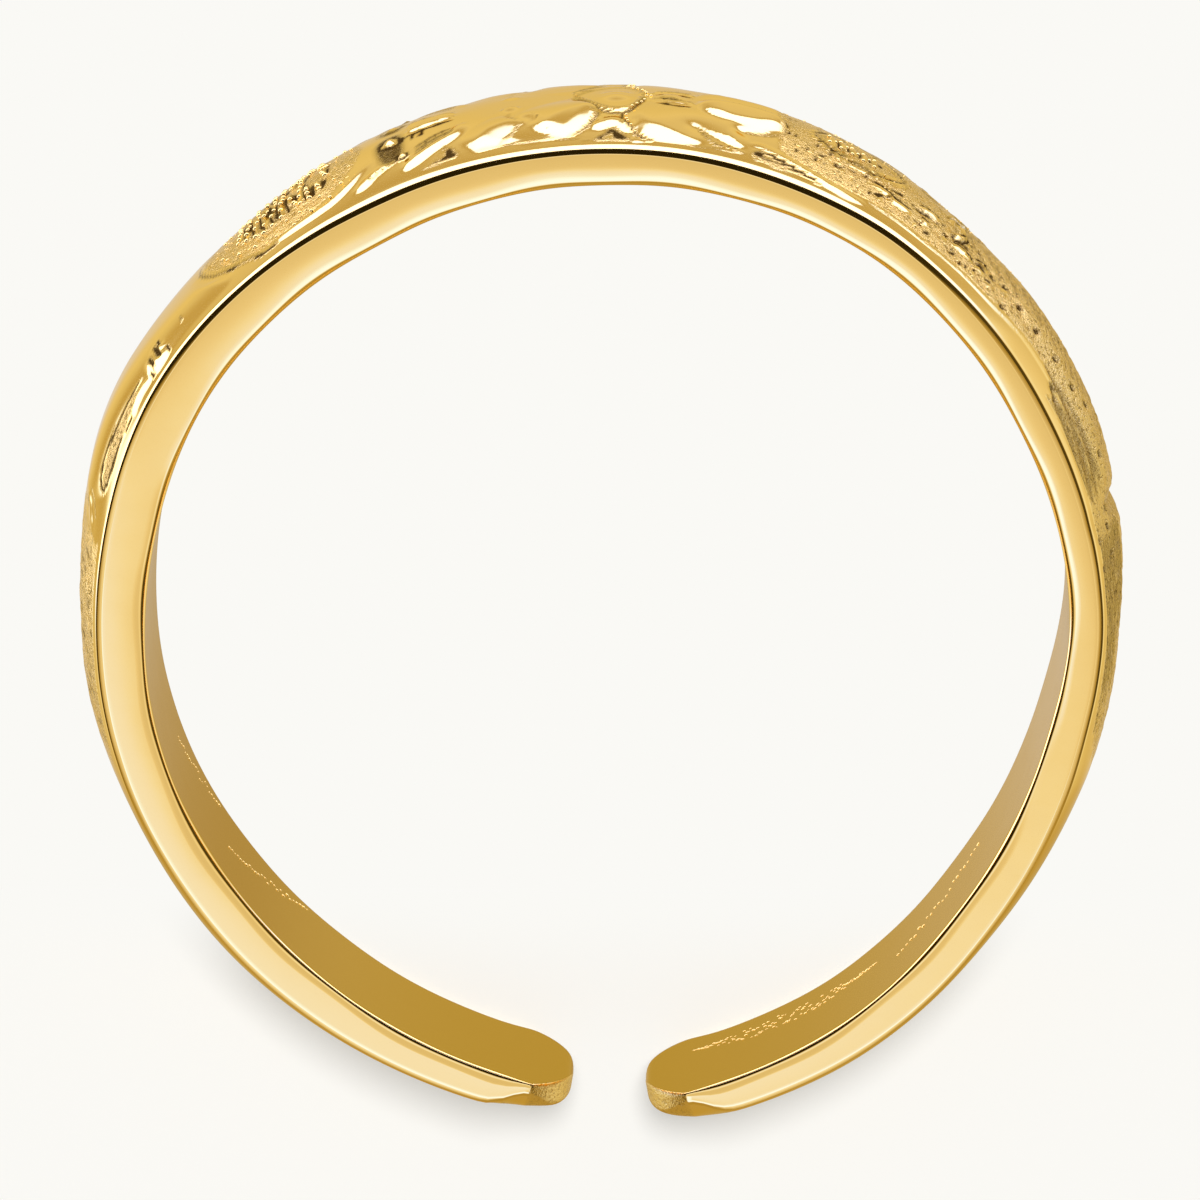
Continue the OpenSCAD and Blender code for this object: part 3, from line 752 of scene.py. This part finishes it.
# Angle, and how much the side face is crowned, in mm.
CROWN_ROWS = [
    (-80, -0.001), (-30, 0), (0, 0.002), (60, 0.004), (95, 0.008), (135, 0.008), (180, 0.006), (225, 0.001),
    (258, -0.001)]
side_shares = np.array([0.1, 0.22, 0.34, 0.46, 0.58, 0.7, 0.82, 0.92])
inner_turns = np.radians([0, 18, 36, 54, 72, 90])
wall_shares = np.linspace(0.97, -0.97, 15)
crowned = blended(stations, CROWN_ROWS)
inner = inner_round * (1 + 0.12 * np.sin(np.radians(stations) * 9) + 0.12 * np.sin(np.radians(stations) * 23))


def loop_of(i):
    """Points of one section: place across the bar and height over the inner wall, in mm."""
    face, far_face = height[i], far_height[i]
    side_at = bar_half - crowned[i]
    wide = side_at - corner * (1 - math.sin(corner_start))

    def half_of(top):
        drops = [corner * (math.cos(corner_start) - math.cos(t)) for t in corner_turns]
        right = [(wide + corner * (math.sin(t) - math.sin(corner_start)), top - d)
                 for t, d in zip(corner_turns, drops)]
        low, high = inner[i] * min(1, top / 0.5), top - drops[-1]
        side = [(side_at + crowned[i] * (1 - (2 * s - 1) ** 2), low + (high - low) * s)
                for s in 1 - side_shares]
        inside = [(side_at - low + low * math.cos(t), low - low * math.sin(t)) for t in inner_turns]
        return right + side + inside

    near_half = half_of(face[-1])
    far_half = [(-x, z) for x, z in half_of(far_face[-1])][::-1]
    outer = [(-wide * s, h) for s, h in zip(half_shares[:0:-1], far_face[:0:-1])]
    outer += [(wide * s, h) for s, h in zip(half_shares, face)]
    wall = [(near_half[-1][0] * s, 0.0) for s in wall_shares]
    return np.array(outer + near_half + wall + far_half)


loops = np.stack([loop_of(i) for i in range(len(stations))])
loops[:, :, 0] *= np.where(loops[:, :, 0] < 0, far_narrow[:, None], narrow[:, None])
loops[:, :, 1] = np.maximum(loops[:, :, 1], wall_end[:, None]) + uneven[:, None]
count = loops.shape[1]
bar_along = np.repeat(((stations - flower_angle) * degree)[:, None], count, 1)
bar_points = np.dstack([bar_along, loops[:, :, 0], loops[:, :, 1]]).reshape(-1, 3)

quads = []
for i in range(len(stations) - 1):
    a = i * count
    for j in range(count):
        k = (j + 1) % count
        quads.append((a + j, a + count + j, a + count + k, a + k))
first_cap = list(range(count))
last_cap = [(len(stations) - 1) * count + j for j in range(count)][::-1]

bar_mesh = bpy.data.meshes.new("bar")
bar_mesh.from_pydata(bar_points.tolist(), [], quads + [first_cap, last_cap])
bar_mesh.shade_smooth()


def on_section(values):
    """Values of the half grid spread over whole sections, and 0 off the outer face."""
    full = np.zeros((len(stations), count))
    n = len(half_shares)
    full[:, :n - 1] = (values * (1 - 0.4 * join))[:, :0:-1]
    full[:, n - 1:2 * n - 1] = values
    return full.ravel()


inner_wall = np.zeros((len(stations), count))
wall_start = 2 * len(half_shares) - 1 + len(corner_turns) + len(side_shares) + 5
inner_wall[:, wall_start:wall_start + len(wall_shares) + 2] = 1
# The noses of the tips get a matte finish and a little painted shade.
at_tips = np.repeat(on_nose, count) * (1 - inner_wall.ravel())
satin, hollow = np.maximum(on_section(matte), 0.4 * at_tips), np.maximum(on_section(recess), 0.12 * at_tips)
for name, values in (("matte", satin), ("recess", hollow), ("inner_wall", inner_wall.ravel())):
    layer = bar_mesh.attributes.new(name, "FLOAT", "POINT")
    layer.data.foreach_set("value", np.clip(values, 0, 1).astype(np.float32))
bar = bpy.data.objects.new("bar", bar_mesh)
bpy.context.collection.objects.link(bar)
print("bar:", len(bar_mesh.vertices), "points,", 2 * len(quads), "triangles")

# %% [markdown]
# ## Node trees written as sums
#
# Both Geometry Nodes and materials are trees of small nodes. Wrapped in a class that knows +, -, * and /,
# a socket can be used in a Python expression, and the expression adds the Math nodes. Any other node comes
# from one method, which sets the node's settings first and then its inputs.

# %% Wrap a socket


class Value:
    """An output socket of a node tree that can be used in sums."""

    def __init__(self, tree, socket):
        self.tree = tree
        self.socket = socket

    def node(self, kind, settings=None, inputs=None, output=0):
        """Adds a node with its settings and inputs, and gives one of its outputs as a Value."""
        node = self.tree.nodes.new(kind)
        for name, setting in (settings or {}).items():
            if name == "stops":
                elements = node.color_ramp.elements
                elements.remove(elements[1])
                for k, (place, colour) in enumerate(setting):
                    element = elements.new(place) if k else elements[0]
                    element.position = place
                    element.color = (*colour, 1.0)
            else:
                setattr(node, name, setting)
        for name, given in (inputs or {}).items():
            if isinstance(given, Value):
                self.tree.links.new(given.socket, node.inputs[name])
            else:
                node.inputs[name].default_value = given
        return Value(self.tree, node.outputs[output])

    def math(self, operation, *others):
        """A Math node on this value and others; a place in others given as None takes this value."""
        values = [self, *others] if None not in others else [self if o is None else o for o in others]
        return self.node("ShaderNodeMath", {"operation": operation}, dict(enumerate(values)))

    def __add__(self, other):
        return self.math("ADD", other)

    __radd__ = __add__

    def __sub__(self, other):
        return self.math("SUBTRACT", other)

    def __rsub__(self, other):
        return self.math("SUBTRACT", other, None)

    def __mul__(self, other):
        return self.math("MULTIPLY", other)

    __rmul__ = __mul__

    def __truediv__(self, other):
        return self.math("DIVIDE", other)

    def __gt__(self, other):
        return self.math("GREATER_THAN", other)

    def __lt__(self, other):
        return self.math("LESS_THAN", other)

    def between(self, low, high):
        """0 below low, 1 above high and eased in between."""
        return self.node("ShaderNodeMapRange", {"interpolation_type": "SMOOTHSTEP"},
                         {"Value": self, "From Min": low, "From Max": high})


# %% [markdown]
# ## Bending the bar round the toe
#
# A point of the flat bar has its length along the band as x, its place across as y and its height over
# the inner wall as z. Bending turns x into an angle and z into a radius. On the two arms the radius is
# longer and its middle lies off the ring's, which two masks, 0 or 1, switch on. The group is used twice,
# for the bar and for the grains on it, so both are bent by exactly the same rule.

# %% Build the bending group
bend = bpy.data.node_groups.new("bend round the toe", "GeometryNodeTree")
bend.interface.new_socket("Geometry", in_out="INPUT", socket_type="NodeSocketGeometry")
SIZES = {
    "Toe Radius": toe_radius, "Arm Spread": arm_spread, "Arm Start": arm_start, "Flower Angle": flower_angle,
    "Degree": degree, "Half Middle": half_middle, "Half Slope": half_slope, "Bar Half": bar_half}
for name, size in SIZES.items():
    bend.interface.new_socket(name, in_out="INPUT", socket_type="NodeSocketFloat").default_value = size
bend.interface.new_socket("Geometry", in_out="OUTPUT", socket_type="NodeSocketGeometry")

entry = bend.nodes.new("NodeGroupInput")
given = {socket.name: Value(bend, socket) for socket in entry.outputs if socket.name}
place = given["Toe Radius"].node("GeometryNodeInputPosition")
x, y, z = (place.node("ShaderNodeSeparateXYZ", None, {"Vector": place}, k) for k in range(3))
angle = given["Flower Angle"] + x / given["Degree"]
on_right = angle < given["Arm Start"] * -1
on_left = angle > given["Arm Start"] + 180
start = given["Arm Start"] * math.radians(1)
spread = given["Arm Spread"]
middle_along = (on_left - on_right) * spread * start.math("COSINE")
middle_up = (on_left + on_right) * spread * start.math("SINE")
radius = given["Toe Radius"] + (on_left + on_right) * spread + z
turned = angle * math.radians(1)
ring_x = middle_along + radius * turned.math("COSINE")
ring_y = middle_up + radius * turned.math("SINE")
ring_z = y / given["Bar Half"] * (given["Half Middle"] + given["Half Slope"] * ring_y)
target = place.node("ShaderNodeCombineXYZ", None, {"X": ring_x, "Y": ring_y, "Z": ring_z})
moved = place.node("GeometryNodeSetPosition", None, {"Geometry": given["Geometry"], "Position": target})
leave = bend.nodes.new("NodeGroupOutput")
bend.links.new(moved.socket, leave.inputs["Geometry"])
print("bending group:", len(bend.nodes), "nodes")

# %% [markdown]
# ## The gold
#
# Cast gold that has been polished is a warm mirror with soft, shallow waves. The wheel doesn't reach into
# the carving: the ground keeps a fine grain there, and its lowest places are painted darker, as shade.
# The inner wall is painted a deeper, browner tone as the shade that it mirrors, and it is a little rougher,
# as it was only brushed. The masks were painted on the bar as attributes, so they stay where they belong
# when the bar is bent, and the grain reads object coordinates. In the deepest cuts the painted shade is
# mixed in as a second finish without shine, because gold seen at a flat angle always mirrors something
# and could never be black.

# %% Make the gold
gold = bpy.data.materials.new("yellow gold")
gold.use_nodes = True
gold.node_tree.nodes.clear()
shader_out = gold.node_tree.nodes.new("ShaderNodeOutputMaterial")
seed = Value(gold.node_tree, shader_out.inputs["Surface"])
coords = seed.node("ShaderNodeTexCoord", output="Object")
dull = seed.node("ShaderNodeAttribute", {"attribute_name": "matte"}, output="Fac")
deep = seed.node("ShaderNodeAttribute", {"attribute_name": "recess"}, output="Fac")
inner = seed.node("ShaderNodeAttribute", {"attribute_name": "inner_wall"}, output="Fac")


def noise(size_mm, detail=2.0):
    """Soft noise with features of about that size."""
    inputs = {"Vector": coords, "Scale": 1 / (size_mm * MM), "Detail": detail}
    return seed.node("ShaderNodeTexNoise", None, inputs)


def blend(mask, first, second):
    """A colour between two, by a mask."""
    inputs = {"Factor": mask, 6: first, 7: second}
    return mask.node("ShaderNodeMix", {"data_type": "RGBA"}, inputs, 2)


POLISHED = (0.94, 0.645, 0.2, 1)
GRAINED = (0.75, 0.505, 0.15, 1)
# Painted shade on the inner wall, darker and browner as the shadowed hollow it mirrors.
INNER_WALL_SHADE = (0.52, 0.29, 0.03, 1)
# Painted shade for cuts, pockets and pits.
SHADE_IN_HOLLOWS = (0.12, 0.055, 0.006, 1)
# Painted shade without shine for the deepest cuts.
DEEPEST_SHADE = (0.055, 0.028, 0.007, 1)

grain = noise(0.035, 3.0)
cloud = noise(0.5)
colour = blend(dull * 0.8 + (cloud - 0.5) * 0.12, POLISHED, GRAINED)
# The inner wall is painted darker, as shade.
colour = blend(inner.between(0.2, 0.9), colour, INNER_WALL_SHADE)
# Specks are tiny pits in the matte ground, bumped down and painted dark as shade.
specks = noise(0.07, 1.0).between(0.56, 0.68)
# Cuts, pockets, pits and specks are painted towards this dark colour, as shade.
colour = blend(deep * (0.55 + 0.6 * grain) + specks * dull * 0.45, colour, SHADE_IN_HOLLOWS)
rough = 0.09 + 0.12 * dull + 0.1 * deep + 0.1 * inner + 0.04 * (cloud - 0.5)
waves = noise(0.9, 1.0) * 0.5 + noise(0.22, 1.0) * 0.06
texture = grain * dull + waves * (1 - dull) * 0.1 + deep * grain - specks * dull * 0.6
relief_bump = seed.node("ShaderNodeBump", None, {"Height": texture, "Strength": 1.0, "Distance": 0.018 * MM})
surface = seed.node("ShaderNodeBsdfPrincipled", None, {
    "Base Color": colour, "Metallic": 1.0, "Roughness": rough, "Normal": relief_bump,
    "Specular Tint": (1.0, 0.86, 0.48, 1)})
# A dull dark layer paints shade into the deepest cuts, where the shade mask is strongest.
shade_without_shine = seed.node("ShaderNodeBsdfPrincipled", None, {
    "Base Color": DEEPEST_SHADE, "Roughness": 0.8, "Specular IOR Level": 0.0})
deepest_shade_mask = (deep * (0.6 + 0.8 * grain)).between(0.42, 0.95) * 0.92
gold_and_shade = seed.node("ShaderNodeMixShader", None, {0: deepest_shade_mask, 1: surface, 2: shade_without_shine})
gold.node_tree.links.new(gold_and_shade.socket, shader_out.inputs["Surface"])

# %% [markdown]
# ## From the flat bar to the ring
#
# The modifier holds a small tree: the bar goes through the bending group and gets its material. The result
# is turned into a plain mesh, laid on its side by the seat's matrix, and the bar itself is removed.

# %% Bend the bar


def new_tree(name, *inputs):
    """A Geometry Nodes tree with a geometry in and out, and named inputs in between."""
    tree = bpy.data.node_groups.new(name, "GeometryNodeTree")
    tree.interface.new_socket("Geometry", in_out="INPUT", socket_type="NodeSocketGeometry")
    for label, kind in inputs:
        tree.interface.new_socket(label, in_out="INPUT", socket_type=kind)
    tree.interface.new_socket("Geometry", in_out="OUTPUT", socket_type="NodeSocketGeometry")
    source = tree.nodes.new("NodeGroupInput")
    return tree, {socket.name: Value(tree, socket) for socket in source.outputs if socket.name}


def finish_tree(tree, geometry, material):
    """Ends a tree with realized instances, the bending group and a material."""
    real = geometry.node("GeometryNodeRealizeInstances", None, {"Geometry": geometry})
    bent = real.node("GeometryNodeGroup", {"node_tree": bend}, {"Geometry": real})
    coloured = bent.node("GeometryNodeSetMaterial", None, {"Geometry": bent, "Material": material})
    out = tree.nodes.new("NodeGroupOutput")
    tree.links.new(coloured.socket, out.inputs["Geometry"])


def made_plain(source, tree, settings, name):
    """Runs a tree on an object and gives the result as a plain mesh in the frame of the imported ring."""
    modifier = source.modifiers.new("nodes", "NODES")
    modifier.node_group = tree
    for item in tree.interface.items_tree:
        if item.in_out == "INPUT" and item.name in settings:
            modifier[item.identifier] = settings[item.name]
    result = source.evaluated_get(bpy.context.evaluated_depsgraph_get())
    mesh = bpy.data.meshes.new_from_object(result)
    source.modifiers.remove(modifier)
    mesh.transform(ring_to_world)
    mesh.name = name
    piece = bpy.data.objects.new(name, mesh)
    bpy.context.collection.objects.link(piece)
    return piece


bar_tree, bar_inputs = new_tree("bend the bar")
finish_tree(bar_tree, bar_inputs["Geometry"], gold)
band = made_plain(bar, bar_tree, {}, "band")
print("band:", len(band.data.vertices), "points, material", band.data.materials[0].name)

# %% [markdown]
# ## Grains and punch marks
#
# The stippled grounds are set with grains: small beads, and small rings where the punch was hollow. They
# are placed one by one where the picture shows them, and by a loop with a fixed seed where they only fill the
# ground. Geometry Nodes copies one bead or ring to each point, drops it on the bar with Raycast, and makes
# the copies real, because an export has no instances.

# %% List the grains
# Angle, percent and radius in mm of each grain.
BEADS = [
    (119.6, 28, 0.035), (120.8, 50, 0.045), (122.4, 62, 0.045), (124.9, 66, 0.05), (127.3, 70, 0.045),
    (129.7, 68, 0.045), (132.6, 58, 0.05), (134.8, 46, 0.045), (136.4, 36, 0.04), (137, 26, 0.04),
    (128.1, 55, 0.04), (126.3, 57, 0.045), (123.6, 52, 0.04), (134, 34, 0.04), (121.6, 36, 0.035),
    (67.8, 61, 0.035), (63.9, 63, 0.035), (61, 65, 0.035), (58.2, 67, 0.04), (55.6, 70, 0.035),
    (53.3, 68, 0.045), (50.7, 70, 0.035), (47, 66, 0.035), (44.6, 68, 0.04), (42.4, 64, 0.05),
]
PUNCHED = [
    (70.2, 36, 0.05), (70.2, 52, 0.055), (68.6, 40, 0.065), (67.2, 43, 0.065), (66, 46, 0.06),
    (64.8, 42, 0.05), (64, 47, 0.05), (61.9, 52, 0.06), (61, 60, 0.05), (52.4, 57, 0.06), (56.6, 63, 0.05),
    (53.3, 69, 0.045), (49.7, 62, 0.05), (40.2, 50, 0.05), (131.1, 64, 0.05), (133.4, 50, 0.05),
    (123.2, 60, 0.05), (120, 44, 0.05),
]
rope = [(87.4, 32), (86.9, 27), (86.4, 21), (86.1, 14), (85.9, 6), (85.4, -2)]
rope += [(88, 45), (87.95, 52), (87.8, 59), (87.4, 66), (86.9, 73), (86.3, 79)]
BEADS += [(angle, place, 0.034) for angle, place in rope]

for angle, foot, head, lean, height in STAMENS:
    for t in (0, 0.3, 0.6, 0.9):
        BEADS.append((angle + lean * (0.5 - t), foot + (head - foot) * t, 0.062 - 0.02 * t))
BEADS += [(65.2 - 0.7 * k, 10 - 10 * (k % 2), 0.05) for k in range(9)]

# Small raised marks on the inner wall: three rows, and a rough streak near the end of the right arm.
# Columns: angle and percent of both ends, number of marks, radius, and how far they stray in percent.
MARK_ROWS = [
    (199.2, -43, 209.2, -77, 20, 0.06, 10),
    (212.1, 0, 225, -80, 26, 0.065, 10),
    (-33, -35, -47.7, 10, 22, 0.065, 10),
    (-51, -30, -74.5, -50, 130, 0.05, 22),
]
WALL_MARKS = []
for angle, place, last_angle, last_place, number, size, stray in MARK_ROWS:
    for t in np.linspace(0, 1, number):
        wander = np.sin(t * np.pi) * chance.uniform(-stray, stray)
        WALL_MARKS.append((angle + (last_angle - angle) * t, place + (last_place - place) * t + wander,
                           size * chance.uniform(0.6, 1.1)))

scatter = np.random.default_rng(5)
for k in range(50):
    BEADS.append((scatter.uniform(30, 70), scatter.uniform(20, 66), scatter.uniform(0.016, 0.026)))
for k in range(24):
    turn_at, away = scatter.uniform(0, 180), disc_radius * math.sqrt(scatter.uniform(0.3, 0.85))
    place = circle(disc_angle, 0, away, turn_at, steps=0)[0]
    BEADS.append((*place, scatter.uniform(0.018, 0.028)))
print(len(BEADS), "beads and", len(PUNCHED), "punched rings on each half")

# %% [markdown]
# ## Seating the grains
#
# A stamped grain sits a little sunk in the metal, so each bead is dropped on the bar along the band's
# thickness and pushed in by a share of its own size. Marks on the inner wall come from below instead.
# Bending comes last, so that a grain turns with the place it stands on.

# %% Set the grains on the bar


def grain_points(name, rows, mirrored):
    """A mesh of loose points on the bar's middle plane, one for each grain, with its size."""
    both = rows + [(a, -p, r) for a, p, r in rows if mirrored and abs(p) > 5]
    mesh = bpy.data.meshes.new(name)
    mesh.from_pydata([(*p[:2], 0.0) for p in to_bar(both)], [], [])
    sizes = mesh.attributes.new("size", "FLOAT", "POINT")
    sizes.data.foreach_set("value", [r for _, _, r in both])
    points = bpy.data.objects.new(name, mesh)
    bpy.context.collection.objects.link(points)
    return points


def grain_tree(name, hollow):
    """Seats a bead, or a small ring where hollow is true, at each point on one side of the bar."""
    tree, given = new_tree(name, ("Surface", "NodeSocketObject"), ("Sink", "NodeSocketFloat"),
                           ("Side", "NodeSocketFloat"))
    first = given["Geometry"]
    surface = first.node("GeometryNodeObjectInfo", None, {"Object": given["Surface"]}, "Geometry")
    position = first.node("GeometryNodeInputPosition")
    lifted = first.node("ShaderNodeCombineXYZ", None, {"Z": given["Side"] * 5})
    towards = first.node("ShaderNodeCombineXYZ", None, {"Z": given["Side"] * -1})
    above = first.node("ShaderNodeVectorMath", {"operation": "ADD"}, {0: position, 1: lifted})
    ray = {"Target Geometry": surface, "Source Position": above, "Ray Direction": towards, "Ray Length": 10.0}
    hit = first.node("GeometryNodeRaycast", None, ray, "Hit Position")
    size = first.node("GeometryNodeInputNamedAttribute", {"data_type": "FLOAT"}, {"Name": "size"})
    down = first.node("ShaderNodeCombineXYZ", None, {"Z": size * given["Sink"] * given["Side"] * -1})
    seated = first.node("ShaderNodeVectorMath", {"operation": "ADD"}, {0: hit, 1: down})
    points = first.node("GeometryNodeSetPosition", None, {"Geometry": first, "Position": seated})
    if hollow:
        wire = first.node("GeometryNodeCurvePrimitiveCircle", None, {"Resolution": 10, "Radius": 0.75})
        profile = first.node("GeometryNodeCurvePrimitiveCircle", None, {"Resolution": 5, "Radius": 0.32})
        shape = first.node("GeometryNodeCurveToMesh", None, {"Curve": wire, "Profile Curve": profile})
    else:
        shape = first.node("GeometryNodeMeshUVSphere", None, {"Segments": 8, "Rings": 5, "Radius": 1.0})
    copies = first.node("GeometryNodeInstanceOnPoints", None, {
        "Points": points, "Instance": shape, "Scale": size})
    finish_tree(tree, copies, gold)
    return tree


# Columns: name, places, hollow or not, side of the bar, and the share of its size that a grain sinks in.
GRAINS = [
    ("beads", BEADS, False, 1.0, 0.35),
    ("punched_rings", PUNCHED, True, 1.0, 0.35),
    ("wall_marks", WALL_MARKS, False, -1.0, 0.72),
]
grains = []
for name, rows, hollow, side, sink in GRAINS:
    points = grain_points(name + "_places", rows, side > 0)
    settings = {"Surface": bar, "Sink": sink, "Side": side}
    piece = made_plain(points, grain_tree("set " + name, hollow), settings, name)
    piece.data.shade_smooth()
    bpy.data.objects.remove(points)
    grains.append(piece)
    print(name + ":", len(piece.data.polygons), "faces")
bpy.data.objects.remove(bar)

# %% [markdown]
# ## Put the pieces on the frame
#
# The imported ring has one body, root, and everything rides on it. The band stands for the imported solid,
# which is hidden. All of them wear the yellow gold made above.

# %% Ride on the imported ring
for piece in (band, *grains):
    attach(piece, "root")
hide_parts("toe_ring")

# %% [markdown]
# ## The floor
#
# The ring lies on a white sheet that is lit from below, as on a product table, so it stays evenly white
# round the ring. Only below the arms is the sheet plain paper that takes a soft shadow. The sun lamp lights
# a matt surface evenly, so what the paper gains from the lamps can be taken off its own glow exactly.

# %% Lay the floor
SHEET = (0.956, 0.948, 0.914)
paper_white = 0.42
sun_angle = 70.0
from_sun, from_room = 0.36, 0.14

floor_mesh = bpy.data.meshes.new("floor")
reach = 1.5
corners = [(-reach, -reach, 0), (reach, -reach, 0), (reach, reach, 0), (-reach, reach, 0)]
floor_mesh.from_pydata(corners, [], [(0, 1, 2, 3)])
floor = bpy.data.objects.new("floor", floor_mesh)
floor.location.z = -0.02 * MM
floor.visible_glossy = False
bpy.context.collection.objects.link(floor)
pale = bpy.data.materials.new("pale sheet")
pale.use_nodes = True
pale.node_tree.nodes.clear()
pale_out = pale.node_tree.nodes.new("ShaderNodeOutputMaterial")
sheet = Value(pale.node_tree, pale_out.inputs["Surface"])
on_sheet = sheet.node("ShaderNodeTexCoord", output="Object")
down_the_sheet = sheet.node("ShaderNodeSeparateXYZ", None, {"Vector": on_sheet}, 1)
is_paper = (down_the_sheet * -1).between(5.4 * MM, 7.4 * MM)
own_glow = blend(is_paper, (*SHEET, 1), (*(c * (1 - (from_sun + from_room) / SHEET[0]) for c in SHEET), 1))
paper = blend(is_paper, (0, 0, 0, 1), (*(c * paper_white / SHEET[0] for c in SHEET), 1))
sheet_look = sheet.node("ShaderNodeBsdfPrincipled", None, {
    "Base Color": paper, "Roughness": 0.9, "Specular IOR Level": 0.0,
    "Emission Color": own_glow, "Emission Strength": 1.0})
pale.node_tree.links.new(sheet_look.socket, pale_out.inputs["Surface"])
floor_mesh.materials.append(pale)
floor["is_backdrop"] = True

sun_data = bpy.data.lights.new("sun", "SUN")
sun_data.angle = math.radians(15)
sun_data.energy = from_sun * math.pi / (paper_white * math.sin(math.radians(sun_angle)))
sun = bpy.data.objects.new("sun", sun_data)
sun.rotation_euler = (math.radians(sun_angle - 90), 0, math.radians(-8))
sun.visible_glossy = False
bpy.context.collection.objects.link(sun)
print("sun strength:", round(sun_data.energy, 2))

# %% [markdown]
# ## The cards round the ring
#
# Polished gold shows what is around it and hardly anything else. Photographers stand white and black cards
# round a ring until each slope of it mirrors what they want. The world does this here, for reflections
# alone. For each direction it works out which slope of gold would mirror it to the camera, and looks the
# brightness up by that slope: faces that look up are tan, slopes of 22 to 40 degrees mirror a white strip,
# steeper ones a black card. The last table turns brightness to colour, as bright cards look cooler.

# %% Build the studio
world = bpy.data.worlds.new("studio")
world.use_nodes = True
world.node_tree.nodes.clear()
world_out = world.node_tree.nodes.new("ShaderNodeOutputWorld")
sky = Value(world.node_tree, world_out.inputs["Surface"])
towards = sky.node("ShaderNodeTexCoord", output="Generated")


def along(vector, axis):
    """How far a direction points along an axis."""
    settings = {"operation": "DOT_PRODUCT"}
    return sky.node("ShaderNodeVectorMath", settings, {0: vector, 1: tuple(axis)}, "Value")


def look_up(value, low, high, rows, scale):
    """A value or colour from a table of stops between low and high."""
    stops = []
    for place, entry in rows:
        shades = (entry,) * 3 if isinstance(entry, float) else entry
        stops.append(((place - low) / (high - low), [shade / scale for shade in shades]))
    share = (value - low) / (high - low)
    return sky.node("ShaderNodeValToRGB", {"stops": stops}, {"Fac": share})


to_eye = tuple(to_floor.to_3x3() @ view_back)
half_way = sky.node("ShaderNodeVectorMath", {"operation": "ADD"}, {0: towards, 1: to_eye})
facing = sky.node("ShaderNodeVectorMath", {"operation": "NORMALIZE"}, {0: half_way})
up = along(facing, across_axis)
slope = up.math("ARCSINE") * math.degrees(1)
level = (1.0001 - up * up).math("SQRT")
to_flower = along(facing, front_axis) / level
to_right = along(facing, (1, 0, 0)) / level
# Slope of the gold in degrees, and brightness of the card that it mirrors.
FRONT = [
    (-20, 0.64), (-8, 0.72), (2, 0.8), (9, 0.86), (14, 0.76), (18.5, 0.58), (20.5, 0.64), (23.5, 3.0),
    (39, 3.3), (42, 0.02), (57, 0.02), (62, 1.1), (70, 1.1)]
FLANK = [
    (-20, 0.46), (0, 0.61), (9, 0.8), (18, 0.74), (26, 1.0), (38, 1.0), (44, 0.1), (57, 0.07), (62, 0.9),
    (72, 1.0)]
BACK = [(-20, 0.56), (50, 0.54), (60, 0.44), (66, 1.3), (74, 1.45)]
# For the side face, how far the mirrored direction leans away from the flower, and brightness.
SIDE = [
    (0.1, 0.8), (0.27, 0.84), (0.3, 0.88), (0.33, 0.96), (0.36, 1.12), (0.4, 1.17), (0.46, 1.3), (0.6, 1.45)]
# Brightness and colour.
TINTS = [
    (0.0, (0.0, 0.0, 0.0)), (0.5, (0.51, 0.39, 0.13)), (0.66, (0.66, 0.585, 0.45)),
    (0.78, (0.78, 0.745, 0.72)), (0.9, (0.9, 0.87, 0.87)), (1.0, (1.0, 1.06, 1.25)),
    (1.15, (1.0, 1.16, 2.1)), (1.3, (1.06, 1.45, 3.1)), (1.6, (1.25, 1.65, 4.4)), (3.3, (3.3, 3.4, 5.0))]
front, flank, back = (look_up(slope, -20, 80, rows, 3.3) * 3.3 for rows in (FRONT, FLANK, BACK))
leaning = (along(towards, front_axis) + along(towards, (0.35, 0, 0))) * -1
side = look_up(leaning, 0.1, 0.6, SIDE, 3.3) * 3.3
lit = flank + (front - flank) * (to_flower - 0.35 * to_right).between(0.25, 0.62)
lit = back + (lit - back) * to_flower.between(-0.5, -0.2)
lit = lit + (side - lit) * slope.between(66, 74)
cards = look_up(lit, 0.0, 3.3, TINTS, 5.0)

is_mirror = sky.node("ShaderNodeLightPath", output="Is Glossy Ray")
room = from_room / paper_white
shade = blend(is_mirror, (room, room, room, 1), cards)
glow = sky.node("ShaderNodeBackground", None, {"Color": shade, "Strength": 1.0 + 4.0 * is_mirror})
world.node_tree.links.new(glow.socket, world_out.inputs["Surface"])
bpy.context.scene.world = world
bpy.context.scene.view_settings.view_transform = "Standard"
bpy.context.scene.view_settings.look = "None"

# %% [markdown]
# ## Compare the sizes
#
# The visual model has to fit the imported one, because a library part is placed by its packed box. Both
# boxes and their differences are printed as plain numbers.

# %% Print the sizes
low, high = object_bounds()
print("visual box, mm:", [round(s / MM, 2) for s in high - low])
for name, a, b in zip("xyz", low - cad_low, high - cad_high):
    print(name, "differs from the packed box by", round(a / MM, 3), "and", round(b / MM, 3), "mm")
